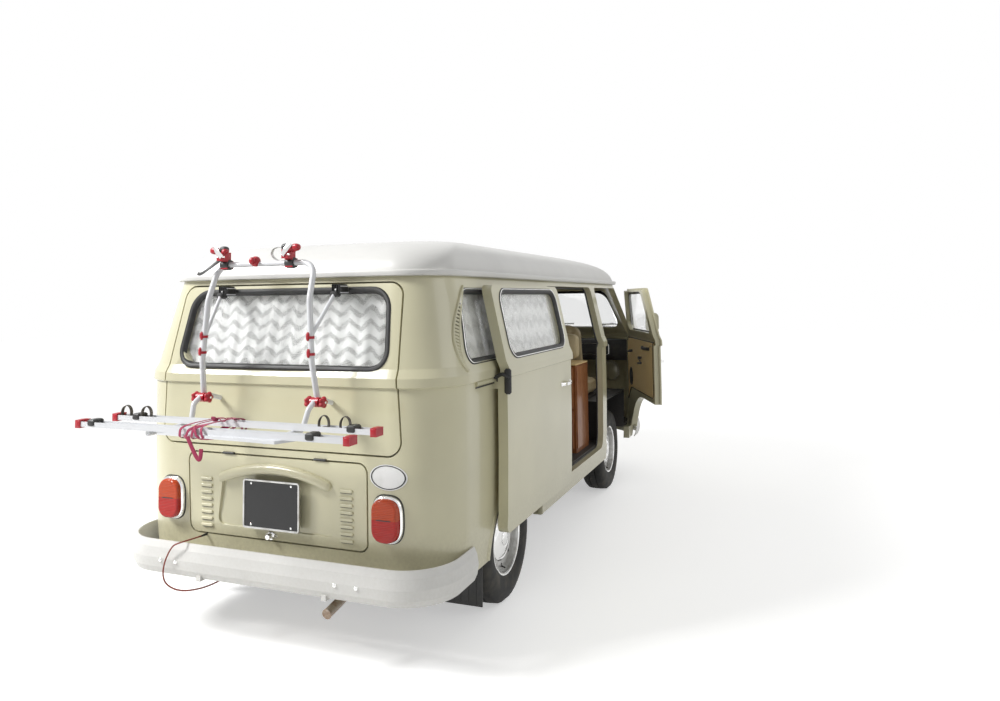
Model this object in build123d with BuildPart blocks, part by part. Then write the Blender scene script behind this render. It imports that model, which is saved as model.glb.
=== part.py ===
"""A rear-engined camper van, as separate pieces. Millimetres, +Y forwards, +X to the van's right, +Z up."""

import os
from math import cos, radians, sin, sqrt, tan

from build123d import *

os.makedirs("parts", exist_ok=True)

# The model is laid out from the middle of the rear face, and moved at the end by this much,
# so that the origin lies on the ground under the middle of the whole outline
ORIGIN_X = 107
ORIGIN_Y = 1922

# Body
BODY_WIDTH = 1765
BODY_LENGTH = 4280
WALL = 50
GLASS_DEPTH = 16
GLASS_THICK = 6
FIT = 0.3
PANEL_GAP = 8
FLOOR_Z = 440
FLOOR_THICK = 30
ROOF_SHEET = 35
GUTTER_Z = 1700
GUTTER_THICK = 22
GUTTER_LIP = 22
REAR_SPLIT = 232
SILL_Z = 340
BELT_Z = 1212

# Wheels and axles
WHEELBASE = 2400
REAR_AXLE_Y = 900
FRONT_TRACK = 1384
REAR_TRACK = 1426
TYRE_RADIUS = 325
TYRE_WIDTH = 188
RIM_RADIUS = 178
RIM_WIDTH = 150
AXLE_Z = TYRE_RADIUS
AXLE_BORE = 20
RUNNING_GAP = 0.4
KINGPIN_X = 600
FRONT_ARCH_RADIUS = 400
REAR_ARCH_RADIUS = 395
REAR_ARCH_TOP = 615
ARCH_CENTRE_Z = 315
FRONT_AXLE_Y = REAR_AXLE_Y + WHEELBASE

# Tailgate, engine lid and doors
HATCH_BOTTOM = 921
HATCH_TOP = 1668
HATCH_HALF_WIDTH = 660
HATCH_TOP_HALF_WIDTH = 616
LID_BOTTOM = 500
LID_TOP = 876
LID_HALF_WIDTH = 492
LID_THICK = 30
HATCH_THICK = 38
SEAL_LAP = 12
SLIDE_REAR = 1645
SLIDE_FRONT = 2735
SLIDE_BOTTOM = 458
DOOR_TOP = 1660
SLIDE_OUT = 75
SLIDE_BACK = 1100
CAB_REAR = 2868
CAB_FRONT = 3872
CAB_BOTTOM = 450
CAB_ARCH_RADIUS = 440
CAB_OPEN_ANGLE = 24
CAB_SKIN = 12
CAB_INNER_INSET = 16
CAB_TOP_LEAN = 10

# Windows
WINDOW_BOTTOM = 1302
WINDOW_TOP = 1632
WINDOW_CORNER = 62

FRONT_Y = BODY_LENGTH
HALF_WIDTH = BODY_WIDTH / 2

# Body outline at each height: how far its side, rear and front stand in, and its corner radii
BODY_SECTIONS = (
    # height, side_in, rear_in, front_in, rear_corner, front_corner
    (SILL_Z, 33, 36, 45, 240, 380),
    (550, 19, 10, 12, 262, 400),
    (850, 14.5, 0, 0, 270, 400),
    (BELT_Z - 7, 14.5, 0, 34, 270, 400),
    (BELT_Z, 0, -12, 20, 282, 410),
    (BELT_Z + 38, 2, -10, 45, 280, 408),
    (BELT_Z + 78, 20, 12, 95, 265, 395),
    (GUTTER_Z, 110, 108, 450, 215, 330),
)

# Roof outline at each height above the gutter
ROOF_SECTIONS = (
    # rise, side_in, rear_in, front_in, rear_corner, front_corner
    (0, 106, 104, 445, 218, 335),
    (68, 125, 135, 540, 225, 330),
    (128, 190, 250, 720, 240, 320),
    (173, 320, 560, 1030, 250, 320),
    (200, 475, 960, 1400, 240, 300),
    (212, 640, 1340, 1760, 190, 190),
    (216, 770, 1680, 2100, 100, 100),
)


def write(piece, name):
    """Label a finished piece, move it to the origin and write it to its own file."""
    moved = piece.part.moved(Location((-ORIGIN_X, -ORIGIN_Y, 0)))
    moved.label = name
    export_step(moved, f"parts/{name}.step")


def lofted(sections, base_z, inset, ruled):
    """A form lofted up through level outlines with rounded corners, moved in all round by the inset."""
    with BuildPart() as form:
        for height, side_in, rear_in, front_in, rear_corner, front_corner in sections:
            half = HALF_WIDTH - side_in - inset
            rear = rear_in + inset
            front = FRONT_Y - front_in - inset
            with BuildSketch(Plane.XY.offset(base_z + height)) as face:
                with Locations((0, (rear + front) / 2)):
                    Rectangle(2 * half, front - rear)
                fillet(face.vertices().group_by(Axis.Y)[0], rear_corner - inset)
                fillet(face.vertices().group_by(Axis.Y)[-1], front_corner - inset)
        loft(ruled=ruled)
    return form.part


def body_form(inset):
    """The body's outer form up to the gutter, moved in by the inset."""
    return lofted(BODY_SECTIONS, 0, inset, True)


def side_prism(points, radius, x_from, x_to):
    """A block across the van whose outline, seen from the side, is a rounded polygon."""
    with BuildPart() as block:
        with BuildSketch(Plane.YZ.offset(x_from)) as face:
            Polygon(*points, align=None)
            if radius:
                fillet(face.vertices(), radius)
        extrude(amount=x_to - x_from)
    return block.part


def end_prism(points, radius, y_from, y_to):
    """A block along the van whose outline, seen from an end, is a rounded polygon."""
    with BuildPart() as block:
        with BuildSketch(Plane.XZ.offset(-y_to)) as face:
            Polygon(*points, align=None)
            if radius:
                fillet(face.vertices(), radius)
        extrude(amount=y_to - y_from)
    return block.part


def box_between(x0, x1, y0, y1, z0, z1):
    """A plain block between two corners, for cutting and trimming."""
    with BuildPart() as block:
        with Locations(((x0 + x1) / 2, (y0 + y1) / 2, (z0 + z1) / 2)):
            Box(abs(x1 - x0), abs(y1 - y0), abs(z1 - z0))
    return block.part


def tube(points, radius, bend):
    """A round bar along straight runs joined by bends."""
    with BuildPart() as piece:
        with BuildLine() as path:
            if len(points) > 2:
                FilletPolyline(*points, radius=bend)
            else:
                Line(*points)
        with BuildSketch(Plane(origin=path.line @ 0, z_dir=path.line % 0)):
            Circle(radius)
        sweep()
    return piece.part


outer_form = body_form(0)
cavity_form = body_form(WALL)
skin_form = body_form(CAB_SKIN)
lid_back_form = body_form(LID_THICK)
lid_seal_form = body_form(LID_THICK + FIT)
hatch_back_form = body_form(HATCH_THICK)
hatch_seal_form = body_form(HATCH_THICK + FIT)
glass_front_form = body_form(GLASS_DEPTH)
glass_back_form = body_form(GLASS_DEPTH + GLASS_THICK)

WIDE = HALF_WIDTH + 200

# Outlines of openings and panels, as rounded polygons of corner points


def trapezoid(bottom, top, half_bottom, half_top, grow=0):
    """Corner points of a symmetric panel seen from an end."""
    return (
        (-half_bottom - grow, bottom - grow),
        (half_bottom + grow, bottom - grow),
        (half_top + grow, top + grow),
        (-half_top - grow, top + grow),
    )


def rectangle(low, high, bottom, top, grow=0):
    """Corner points of an upright panel seen from the side."""
    return (
        (low - grow, bottom - grow),
        (high + grow, bottom - grow),
        (high + grow, top + grow),
        (low - grow, top + grow),
    )


HATCH_WINDOW = trapezoid(1290, 1640, 584, 552)
HATCH_WINDOW_CORNER = 70
QUARTER_WINDOW = ((262, WINDOW_BOTTOM), (1452, WINDOW_BOTTOM), (1446, WINDOW_TOP), (330, WINDOW_TOP))
MIDDLE_WINDOW = rectangle(SLIDE_REAR + 88, SLIDE_FRONT - 88, WINDOW_BOTTOM, WINDOW_TOP)
CAB_WINDOW = ((2956, WINDOW_BOTTOM), (3782, WINDOW_BOTTOM), (3560, WINDOW_TOP), (2968, WINDOW_TOP))
WINDSCREEN = trapezoid(1304, 1652, 748, 650)
WINDSCREEN_CORNER = 80
CAB_CORNER = 30
SLIDE_CORNER = 45
HATCH_CORNER = 62
LID_CORNER = 40

# Behind this slanted line the sides begin, and ahead of it the nose
NOSE_LINE = ((CAB_FRONT + PANEL_GAP, SILL_Z - 40), (CAB_FRONT + PANEL_GAP, BELT_Z + 40),
             (CAB_FRONT + PANEL_GAP - 322, GUTTER_Z + 10))


def cab_outline(grow, lean):
    """Corner points of the cab door above the wheel, without its wheel cut-out."""
    return (
        (CAB_REAR - grow, CAB_BOTTOM - grow),
        (CAB_FRONT + grow, CAB_BOTTOM - grow),
        (CAB_FRONT + grow, BELT_Z + 38),
        (CAB_FRONT - 292 + grow, DOOR_TOP + grow),
        (CAB_REAR + lean - grow, DOOR_TOP + grow),
        (CAB_REAR - grow, BELT_Z + 78),
    )


def wheel_cut(radius, axle_y, top=None):
    """The space over a wheel, cut through the sides, with a flat top where one is given."""
    with BuildPart() as cut:
        with BuildSketch(Plane.YZ.offset(-WIDE)):
            with Locations((axle_y, ARCH_CENTRE_Z)):
                Circle(radius)
            if top:
                with Locations((axle_y, top)):
                    Rectangle(3 * radius, 2 * radius, align=(Align.CENTER, Align.MIN), mode=Mode.SUBTRACT)
        extrude(amount=2 * WIDE)
    return cut.part


hatch_opening = end_prism(
    trapezoid(HATCH_BOTTOM, HATCH_TOP, HATCH_HALF_WIDTH, HATCH_TOP_HALF_WIDTH, PANEL_GAP),
    HATCH_CORNER + PANEL_GAP, -200, REAR_SPLIT + 60)
hatch_block = end_prism(
    trapezoid(HATCH_BOTTOM, HATCH_TOP, HATCH_HALF_WIDTH, HATCH_TOP_HALF_WIDTH),
    HATCH_CORNER, -200, REAR_SPLIT + 60)
lid_opening = end_prism(
    trapezoid(LID_BOTTOM, LID_TOP, LID_HALF_WIDTH - 4, LID_HALF_WIDTH, PANEL_GAP),
    LID_CORNER + PANEL_GAP, -200, REAR_SPLIT)
lid_block = end_prism(
    trapezoid(LID_BOTTOM, LID_TOP, LID_HALF_WIDTH - 4, LID_HALF_WIDTH),
    LID_CORNER, -200, REAR_SPLIT)
hatch_seal_hole = end_prism(
    trapezoid(HATCH_BOTTOM, HATCH_TOP, HATCH_HALF_WIDTH, HATCH_TOP_HALF_WIDTH, -SEAL_LAP),
    HATCH_CORNER - SEAL_LAP, -200, REAR_SPLIT + 60)
lid_seal_hole = end_prism(
    trapezoid(LID_BOTTOM, LID_TOP, LID_HALF_WIDTH - 4, LID_HALF_WIDTH, -SEAL_LAP),
    LID_CORNER - SEAL_LAP, -200, REAR_SPLIT)
slide_opening = side_prism(
    rectangle(SLIDE_REAR, SLIDE_FRONT, SLIDE_BOTTOM, DOOR_TOP, PANEL_GAP),
    SLIDE_CORNER + PANEL_GAP, 0, WIDE)
slide_block = side_prism(
    rectangle(SLIDE_REAR, SLIDE_FRONT, SLIDE_BOTTOM, DOOR_TOP),
    SLIDE_CORNER, 0, WIDE)
cab_opening = side_prism(cab_outline(PANEL_GAP, 0), CAB_CORNER, -WIDE, WIDE)
cab_sill_block = wheel_cut(CAB_ARCH_RADIUS - PANEL_GAP, FRONT_AXLE_Y)
front_arch = wheel_cut(FRONT_ARCH_RADIUS, FRONT_AXLE_Y)
rear_arch = wheel_cut(REAR_ARCH_RADIUS, REAR_AXLE_Y, REAR_ARCH_TOP)
quarter_hole = side_prism(QUARTER_WINDOW, WINDOW_CORNER, -WIDE, WIDE)
middle_hole_left = side_prism(MIDDLE_WINDOW, WINDOW_CORNER, -WIDE, 0)
middle_hole_right = side_prism(MIDDLE_WINDOW, WINDOW_CORNER, 0, WIDE)
cab_hole = side_prism(CAB_WINDOW, WINDOW_CORNER - 10, -WIDE, WIDE)
hatch_hole = end_prism(HATCH_WINDOW, HATCH_WINDOW_CORNER, -200, REAR_SPLIT + 100)
screen_hole = end_prism(WINDSCREEN, WINDSCREEN_CORNER, 3300, FRONT_Y + 100)
nose_block = side_prism(
    (*NOSE_LINE, (FRONT_Y + 200, GUTTER_Z + 10), (FRONT_Y + 200, SILL_Z - 40)), 0, -WIDE, WIDE)
tail_block = box_between(-WIDE, WIDE, -200, REAR_SPLIT, SILL_Z - 10, GUTTER_Z + 10)

# Body panels, hollow, each as thick as the wall

with BuildPart() as shell:
    add(outer_form)
    add(cavity_form, mode=Mode.SUBTRACT)

# The cross panel and the two rear corners. The openings for tailgate and engine lid are stepped:
# the shut panel lies against a lip with its seal
with BuildPart() as tail_panel:
    add(shell.part)
    add(tail_block, mode=Mode.INTERSECT)
    add(hatch_opening - hatch_seal_form, mode=Mode.SUBTRACT)
    add(hatch_seal_hole, mode=Mode.SUBTRACT)
    add(lid_opening - lid_seal_form, mode=Mode.SUBTRACT)
    add(lid_seal_hole, mode=Mode.SUBTRACT)

# Cab door hinges: two outer knuckles and the pin on the body, the middle knuckle on the door
CAB_HINGE_X = HALF_WIDTH + 2
CAB_HINGE_Y = CAB_FRONT + PANEL_GAP
HINGE_LEVELS = (560, 1120)
HINGE_PIN = 4
HINGE_KNUCKLE = 9
HINGE_LENGTH = 72
HINGE_LEAF = 26
HINGE_PLAY = 1


def hinge_stack(side, level, low, high, leaf):
    """Part of a hinge between two heights: its knuckle and a leaf that reaches the skin."""
    with BuildPart() as piece:
        with BuildSketch(Plane.XY.offset(level + low)):
            with Locations((side * CAB_HINGE_X, CAB_HINGE_Y)):
                Circle(HINGE_KNUCKLE)
            with Locations((side * (CAB_HINGE_X - HINGE_LEAF / 2), CAB_HINGE_Y + leaf / 2)):
                Rectangle(HINGE_LEAF, abs(leaf))
        extrude(amount=high - low)
        add(outer_form, mode=Mode.SUBTRACT)
    return piece.part


def hinge_rod(side, level, radius):
    """The pin of a hinge, or with a larger radius its bore."""
    with BuildPart() as rod:
        with Locations((side * CAB_HINGE_X, CAB_HINGE_Y, level)):
            Cylinder(radius, HINGE_LENGTH)
    return rod.part


def hinges_on_body(side):
    """The fixed halves of one cab door's hinges, with their pins."""
    third = HINGE_LENGTH / 6
    with BuildPart() as fixed:
        for level in HINGE_LEVELS:
            add(hinge_stack(side, level, -3 * third, -third - HINGE_PLAY, HINGE_LEAF))
            add(hinge_stack(side, level, third + HINGE_PLAY, 3 * third, HINGE_LEAF))
            add(hinge_rod(side, level, HINGE_PIN))
    return fixed.part


def hinges_on_door(side):
    """The moving halves of one cab door's hinges."""
    third = HINGE_LENGTH / 6
    with BuildPart() as moving:
        for level in HINGE_LEVELS:
            add(hinge_stack(side, level, -third, third, -HINGE_LEAF))
            add(hinge_rod(side, level, HINGE_PIN + RUNNING_GAP), mode=Mode.SUBTRACT)
    return moving.part


# The nose with the windscreen frame and front pillars
NOSE_GRILLE = trapezoid(1096, 1172, 300, 300)
HEADLAMP_X = 590
HEADLAMP_Z = 890
HEADLAMP_RADIUS = 92
HEADLAMP_FRONT = FRONT_Y - 8
with BuildPart() as nose_panel:
    add(shell.part)
    add(nose_block, mode=Mode.INTERSECT)
    add(screen_hole, mode=Mode.SUBTRACT)
    add(end_prism(NOSE_GRILLE, 30, FRONT_Y - 200, FRONT_Y + 100), mode=Mode.SUBTRACT)
    for side in (-1, 1):
        with BuildSketch(Plane.XZ.offset(-FRONT_Y + 200)):
            with Locations((side * HEADLAMP_X, HEADLAMP_Z)):
                Circle(HEADLAMP_RADIUS)
        extrude(amount=-300, mode=Mode.SUBTRACT)
    for side in (-1, 1):
        add(hinges_on_body(side))


def side_panel(side):
    """One side of the body between the nose and the rear corner, with its doors, windows and arches."""
    with BuildPart() as panel:
        add(shell.part)
        add(box_between(0, side * WIDE, REAR_SPLIT, FRONT_Y, SILL_Z - 10, GUTTER_Z + 10), mode=Mode.INTERSECT)
        add(nose_block, mode=Mode.SUBTRACT)
        add(cab_opening, mode=Mode.SUBTRACT)
        add(front_arch, mode=Mode.SUBTRACT)
        add(cab_sill_block, mode=Mode.SUBTRACT)
        add(rear_arch, mode=Mode.SUBTRACT)
        add(quarter_hole, mode=Mode.SUBTRACT)
        if side > 0:
            add(slide_opening, mode=Mode.SUBTRACT)
        else:
            add(middle_hole_left, mode=Mode.SUBTRACT)
    return panel


side_left = side_panel(-1)
side_right = side_panel(1)
write(tail_panel, "tail_panel")
write(nose_panel, "nose_panel")
write(side_left, "side_left")
write(side_right, "side_right")

# Roof and its gutter ring
roof_outer = lofted(ROOF_SECTIONS, GUTTER_Z + GUTTER_THICK, 0, False)
gutter_section = BODY_SECTIONS[-1][1:]
with BuildPart() as roof:
    side_in, rear_in, front_in, rear_corner, front_corner = gutter_section
    half = HALF_WIDTH - side_in
    front = FRONT_Y - front_in
    middle = (rear_in + front) / 2
    with BuildSketch(Plane.XY.offset(GUTTER_Z)) as ring:
        with Locations((0, middle)):
            Rectangle(2 * half + 2 * GUTTER_LIP, front - rear_in + 2 * GUTTER_LIP)
        fillet(ring.vertices().group_by(Axis.Y)[0], rear_corner + GUTTER_LIP)
        fillet(ring.vertices().group_by(Axis.Y)[-1], front_corner + GUTTER_LIP)
    extrude(amount=GUTTER_THICK)
    with BuildSketch(Plane.XY.offset(GUTTER_Z)) as hollow:
        with Locations((0, middle)):
            Rectangle(2 * half - 2 * WALL, front - rear_in - 2 * WALL)
        fillet(hollow.vertices().group_by(Axis.Y)[0], rear_corner - WALL)
        fillet(hollow.vertices().group_by(Axis.Y)[-1], front_corner - WALL)
    extrude(amount=GUTTER_THICK, mode=Mode.SUBTRACT)
    with BuildPart(mode=Mode.PRIVATE) as roof_skin:
        add(roof_outer)
        add(roof_outer.moved(Location((0, 0, -ROOF_SHEET))), mode=Mode.SUBTRACT)
    add(roof_skin.part)
write(roof, "roof")

# Tailgate, engine lid and doors cut from the same form as the body


with BuildPart() as hatch:
    add(outer_form)
    add(hatch_block - hatch_hole, mode=Mode.INTERSECT)
    add(hatch_back_form, mode=Mode.SUBTRACT)
write(hatch, "hatch")

# The lid has a pressed recess for the number plate, deepest at its top under a raised brow,
# and a row of louvres at either side
RECESS_FLOOR_Y = 18
RECESS_BOTTOM = 548
RECESS_SHOULDER = 770
RECESS_TOP = 812
RECESS_HALF_BOTTOM = 326
RECESS_HALF_TOP = 290
BROW_RADIUS = 23
LOUVRE_X = 388
LOUVRE_LENGTH = 70
LOUVRE_HEIGHT = 15
LOUVRE_OUT = 8
LOUVRE_COUNT = 8
LOUVRE_PITCH = 31
LOUVRE_LOW_Z = 538


def rear_skin_y(z):
    """Where the middle of the rear skin stands at a height below the belt."""
    low, high = BODY_SECTIONS[1], BODY_SECTIONS[2]
    share = (z - low[0]) / (high[0] - low[0])
    return low[2] + (high[2] - low[2]) * share


with BuildPart() as engine_lid:
    add(outer_form)
    add(lid_back_form, mode=Mode.SUBTRACT)
    add(lid_block, mode=Mode.INTERSECT)
    with BuildSketch(Plane.XZ.offset(-RECESS_FLOOR_Y)) as recess:
        with BuildLine():
            Polyline((-RECESS_HALF_TOP, RECESS_SHOULDER), (-RECESS_HALF_BOTTOM, RECESS_BOTTOM),
                     (RECESS_HALF_BOTTOM, RECESS_BOTTOM), (RECESS_HALF_TOP, RECESS_SHOULDER))
            ThreePointArc((RECESS_HALF_TOP, RECESS_SHOULDER), (0, RECESS_TOP), (-RECESS_HALF_TOP, RECESS_SHOULDER))
        make_face()
        fillet(recess.vertices().group_by(Axis.Z)[0], 34)
    extrude(amount=60, taper=-14, mode=Mode.SUBTRACT)
    with BuildPart(mode=Mode.PRIVATE) as brow:
        with BuildLine(Plane.XZ) as brow_line:
            ThreePointArc((-RECESS_HALF_TOP, RECESS_SHOULDER), (0, RECESS_TOP + BROW_RADIUS / 2),
                          (RECESS_HALF_TOP, RECESS_SHOULDER))
        with BuildSketch(Plane(origin=brow_line.line @ 0, z_dir=brow_line.line % 0)):
            Circle(BROW_RADIUS)
        sweep()
        with Locations((-RECESS_HALF_TOP, 0, RECESS_SHOULDER), (RECESS_HALF_TOP, 0, RECESS_SHOULDER)):
            Sphere(BROW_RADIUS)
    add(brow.part)
    with BuildPart(mode=Mode.PRIVATE) as louvres:
        for step in range(LOUVRE_COUNT):
            level = LOUVRE_LOW_Z + step * LOUVRE_PITCH
            reach = rear_skin_y(level) - LOUVRE_OUT
            with BuildPart(mode=Mode.PRIVATE) as louvre:
                with BuildSketch(Plane.XZ.offset(-reach - 16)):
                    with Locations((-LOUVRE_X, level), (LOUVRE_X, level)):
                        SlotOverall(LOUVRE_LENGTH, LOUVRE_HEIGHT)
                extrude(amount=16)
                fillet(louvre.faces().filter_by(Axis.Y).group_by(Axis.Y)[0].edges(), 5)
            add(louvre.part)
    add(louvres.part)
write(engine_lid, "engine_lid")

with BuildPart() as sliding_door:
    add(shell.part)
    add(slide_block, mode=Mode.INTERSECT)
    add(middle_hole_right, mode=Mode.SUBTRACT)
SLIDE_MOVE = Location((SLIDE_OUT, -SLIDE_BACK, 0))
ROLLER_Z = 1170
sliding_door.part = sliding_door.part.moved(SLIDE_MOVE)
with BuildPart() as roller_arm:
    with Locations((HALF_WIDTH + 10, SLIDE_REAR - SLIDE_BACK + 40, ROLLER_Z)):
        Box(80, 60, 40)
    add(outer_form, mode=Mode.SUBTRACT)
sliding_door.part = sliding_door.part + roller_arm.part
write(sliding_door, "sliding_door")


def mirror_piece(side):
    """A door mirror on its arm, with the door shut."""
    with BuildPart() as piece:
        with Locations((side * (HALF_WIDTH + 60), CAB_FRONT - 120, 1268)):
            Box(160, 16, 12)
        with Locations((side * (HALF_WIDTH + 140), CAB_FRONT - 120, 1330)):
            Box(14, 14, 130)
        with BuildSketch(Plane.XZ.offset(-CAB_FRONT + 112)):
            with Locations((side * (HALF_WIDTH + 140), 1360)):
                RectangleRounded(116, 170, 40)
        extrude(amount=22)
        add(outer_form, mode=Mode.SUBTRACT)
    return piece.part


def cab_door(side):
    """One cab door, shut, with its mirror: a full-size outer skin on a narrower inner frame."""
    half_space = box_between(0, side * WIDE, 2000, FRONT_Y, SILL_Z, GUTTER_Z)
    with BuildPart() as door:
        add(outer_form)
        add(skin_form, mode=Mode.SUBTRACT)
        add(side_prism(cab_outline(0, CAB_TOP_LEAN), CAB_CORNER, -WIDE, WIDE), mode=Mode.INTERSECT)
        add(half_space, mode=Mode.INTERSECT)
    with BuildPart() as frame:
        add(skin_form)
        add(cavity_form, mode=Mode.SUBTRACT)
        add(side_prism(cab_outline(-CAB_INNER_INSET, CAB_TOP_LEAN), CAB_CORNER, -WIDE, WIDE), mode=Mode.INTERSECT)
        add(half_space, mode=Mode.INTERSECT)
    with BuildPart() as whole:
        add(door.part)
        add(frame.part)
        add(wheel_cut(CAB_ARCH_RADIUS, FRONT_AXLE_Y), mode=Mode.SUBTRACT)
        add(box_between(-WIDE, WIDE, CAB_REAR - 50, FRONT_AXLE_Y, SILL_Z, ARCH_CENTRE_Z + CAB_ARCH_RADIUS),
            mode=Mode.SUBTRACT)
        add(cab_hole, mode=Mode.SUBTRACT)
        add(mirror_piece(side))
        add(hinges_on_door(side))
    return whole


def open_cab_door(piece):
    """Swing a piece of the right cab door out on its hinge to where it stands open."""
    hinge = Location((CAB_HINGE_X, CAB_HINGE_Y, 0))
    swing = hinge * Location((0, 0, 0), (0, 0, CAB_OPEN_ANGLE)) * hinge.inverse()
    piece.part = piece.part.moved(swing)
    return piece


cab_door_left = cab_door(-1)
cab_door_right = open_cab_door(cab_door(1))
write(cab_door_left, "cab_door_left")
write(cab_door_right, "cab_door_right")

# Glass, each pane fitted into its opening


def pane(opening):
    """A pane that follows the body's curve and fills an opening, with a thin fit all round."""
    with BuildPart() as glass:
        add(glass_front_form)
        add(glass_back_form, mode=Mode.SUBTRACT)
        add(opening, mode=Mode.INTERSECT)
    return glass


def inset_points(points, gap):
    """A polygon's corner points drawn towards its middle by a small gap."""
    middle_a = sum(point[0] for point in points) / len(points)
    middle_b = sum(point[1] for point in points) / len(points)
    return tuple(
        (a + gap * (1 if a < middle_a else -1), b + gap * (1 if b < middle_b else -1)) for a, b in points
    )


quarter_glass_block = side_prism(inset_points(QUARTER_WINDOW, FIT), WINDOW_CORNER, -WIDE, WIDE)
middle_glass_left = side_prism(inset_points(MIDDLE_WINDOW, FIT), WINDOW_CORNER, -WIDE, 0)
middle_glass_right = side_prism(inset_points(MIDDLE_WINDOW, FIT), WINDOW_CORNER, 0, WIDE)

with BuildPart() as side_glass:
    add(pane(quarter_glass_block).part)
    add(pane(middle_glass_left).part)
    add(pane(middle_glass_right).part.moved(SLIDE_MOVE))
write(side_glass, "side_glass")

windscreen = pane(end_prism(inset_points(WINDSCREEN, FIT), WINDSCREEN_CORNER, 3300, FRONT_Y + 100))
write(windscreen, "windscreen")
hatch_glass = pane(end_prism(inset_points(HATCH_WINDOW, FIT), HATCH_WINDOW_CORNER, -200, REAR_SPLIT + 100))
write(hatch_glass, "hatch_glass")


def cab_glass(side):
    """The pane of one cab door, shut."""
    return pane(side_prism(inset_points(CAB_WINDOW, FIT), WINDOW_CORNER - 10, *sorted((0, side * WIDE))))


cab_glass_left = cab_glass(-1)
cab_glass_right = open_cab_door(cab_glass(1))
write(cab_glass_left, "cab_glass_left")
write(cab_glass_right, "cab_glass_right")

# Floor, chassis rails, wheel houses and engine bay

TUB_THICK = 12
FRONT_TUB = (395, FRONT_AXLE_Y - 420, FRONT_AXLE_Y + 420, 772)
REAR_TUB = (560, REAR_AXLE_Y - 420, REAR_AXLE_Y + 420, 740)
BULKHEAD_Y = 1350
DECK_Z = 890
DECK_THICK = 22
RAIL_X = 340
RAIL_WIDTH = 70
RAIL_REAR = 120
RAIL_FRONT = 4150
JACK_PAD_PLACES = (1500, 2700)
JACK_PAD_WIDTH = 64
JACK_PAD_LENGTH = 110
JACK_PAD_DEPTH = 10


def tub_boxes(grow):
    """The outer boxes of the four wheel houses, or their hollows with a negative growth."""
    boxes = []
    for inner_x, low_y, high_y, top in (FRONT_TUB, REAR_TUB):
        for side in (-1, 1):
            x_range = sorted((side * (inner_x - grow), side * WIDE))
            boxes.append(box_between(*x_range, low_y - grow, high_y + grow, SILL_Z - 100, top + grow))
    return boxes


with BuildPart() as wheel_houses:
    for box in tub_boxes(0):
        add(box)
    add(cavity_form, mode=Mode.INTERSECT)
    for box in tub_boxes(-TUB_THICK):
        add(box, mode=Mode.SUBTRACT)
    add(box_between(-WIDE, WIDE, 0, FRONT_Y, 0, FLOOR_Z), mode=Mode.SUBTRACT)
write(wheel_houses, "wheel_houses")

with BuildPart() as floor_pan:
    add(box_between(-WIDE, WIDE, BULKHEAD_Y, FRONT_Y, FLOOR_Z, FLOOR_Z + FLOOR_THICK))
    add(cavity_form, mode=Mode.INTERSECT)
    for box in tub_boxes(0):
        add(box, mode=Mode.SUBTRACT)
    for side in (-1, 1):
        with Locations((side * RAIL_X, (RAIL_REAR + RAIL_FRONT) / 2, (SILL_Z + FLOOR_Z) / 2)):
            Box(RAIL_WIDTH, RAIL_FRONT - RAIL_REAR, FLOOR_Z - SILL_Z)
        with Locations(*((side * RAIL_X, pad_y, SILL_Z - JACK_PAD_DEPTH / 2) for pad_y in JACK_PAD_PLACES)):
            Box(JACK_PAD_WIDTH, JACK_PAD_LENGTH, JACK_PAD_DEPTH)
write(floor_pan, "floor_pan")

with BuildPart() as engine_bay:
    add(box_between(-WIDE, WIDE, 0, BULKHEAD_Y, DECK_Z, DECK_Z + DECK_THICK))
    add(box_between(-WIDE, WIDE, BULKHEAD_Y - DECK_THICK, BULKHEAD_Y, FLOOR_Z, DECK_Z))
    add(cavity_form, mode=Mode.INTERSECT)
    for box in tub_boxes(0):
        add(box, mode=Mode.SUBTRACT)
write(engine_bay, "engine_bay")

# Bumpers on arms under the rails

BUMPER_THICK = 6


def bumper(face_y, tip_y, bottom, top, half, corner, toward, arm_y):
    """A wrap-round bumper blade on two arms; toward is -1 at the rear and 1 at the front."""
    middle = (bottom + top) / 2
    height = top - bottom
    bow = 22
    with BuildPart() as blade:
        for inset, mode in ((0, Mode.ADD), (BUMPER_THICK, Mode.SUBTRACT)):
            rise = height / 2 - inset
            sections = ((-rise, bow), (-rise * 0.6, bow * 0.36), (0, 0), (rise * 0.6, bow * 0.36), (rise, bow))
            with BuildPart(mode=Mode.PRIVATE) as form:
                for level, sink in sections:
                    with BuildSketch(Plane.XY.offset(middle + level)) as face:
                        reach = abs(face_y - tip_y) - inset - sink
                        with Locations((0, tip_y + toward * reach / 2)):
                            Rectangle(2 * (half - inset - sink), reach)
                        outer = face.vertices().group_by(Axis.Y)[-1 if toward > 0 else 0]
                        fillet(outer, corner - inset - sink)
                loft(ruled=True)
            add(form.part, mode=mode)
        back = sorted((face_y - toward * (bow + BUMPER_THICK), tip_y))
        inner = half - bow - BUMPER_THICK
        with BuildSketch(Plane.XY.offset(bottom - 10)) as hollow:
            with Locations((0, (back[0] + back[1] + toward * -20) / 2)):
                Rectangle(2 * inner, back[1] - back[0] + 20)
            near = hollow.vertices().group_by(Axis.Y)[-1 if toward > 0 else 0]
            fillet(near, corner - bow - BUMPER_THICK)
        extrude(amount=height + 20, mode=Mode.SUBTRACT)
        for side in (-1, 1):
            with Locations((side * BUMPER_ARM_X, (face_y - toward * (BUMPER_THICK + 2) + arm_y) / 2,
                            SILL_Z - BUMPER_ARM / 2)):
                Box(BUMPER_ARM, abs(face_y - toward * (BUMPER_THICK + 2) - arm_y), BUMPER_ARM)
    return blade


BUMPER_ARM = 24
BUMPER_ARM_X = RAIL_X
rear_bumper = bumper(-105, 300, 325, 475, 890, 250, -1, 420)
front_bumper = bumper(4315, 3880, 330, 480, 890, 300, 1, 3900)
write(rear_bumper, "rear_bumper")
write(front_bumper, "front_bumper")

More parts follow.
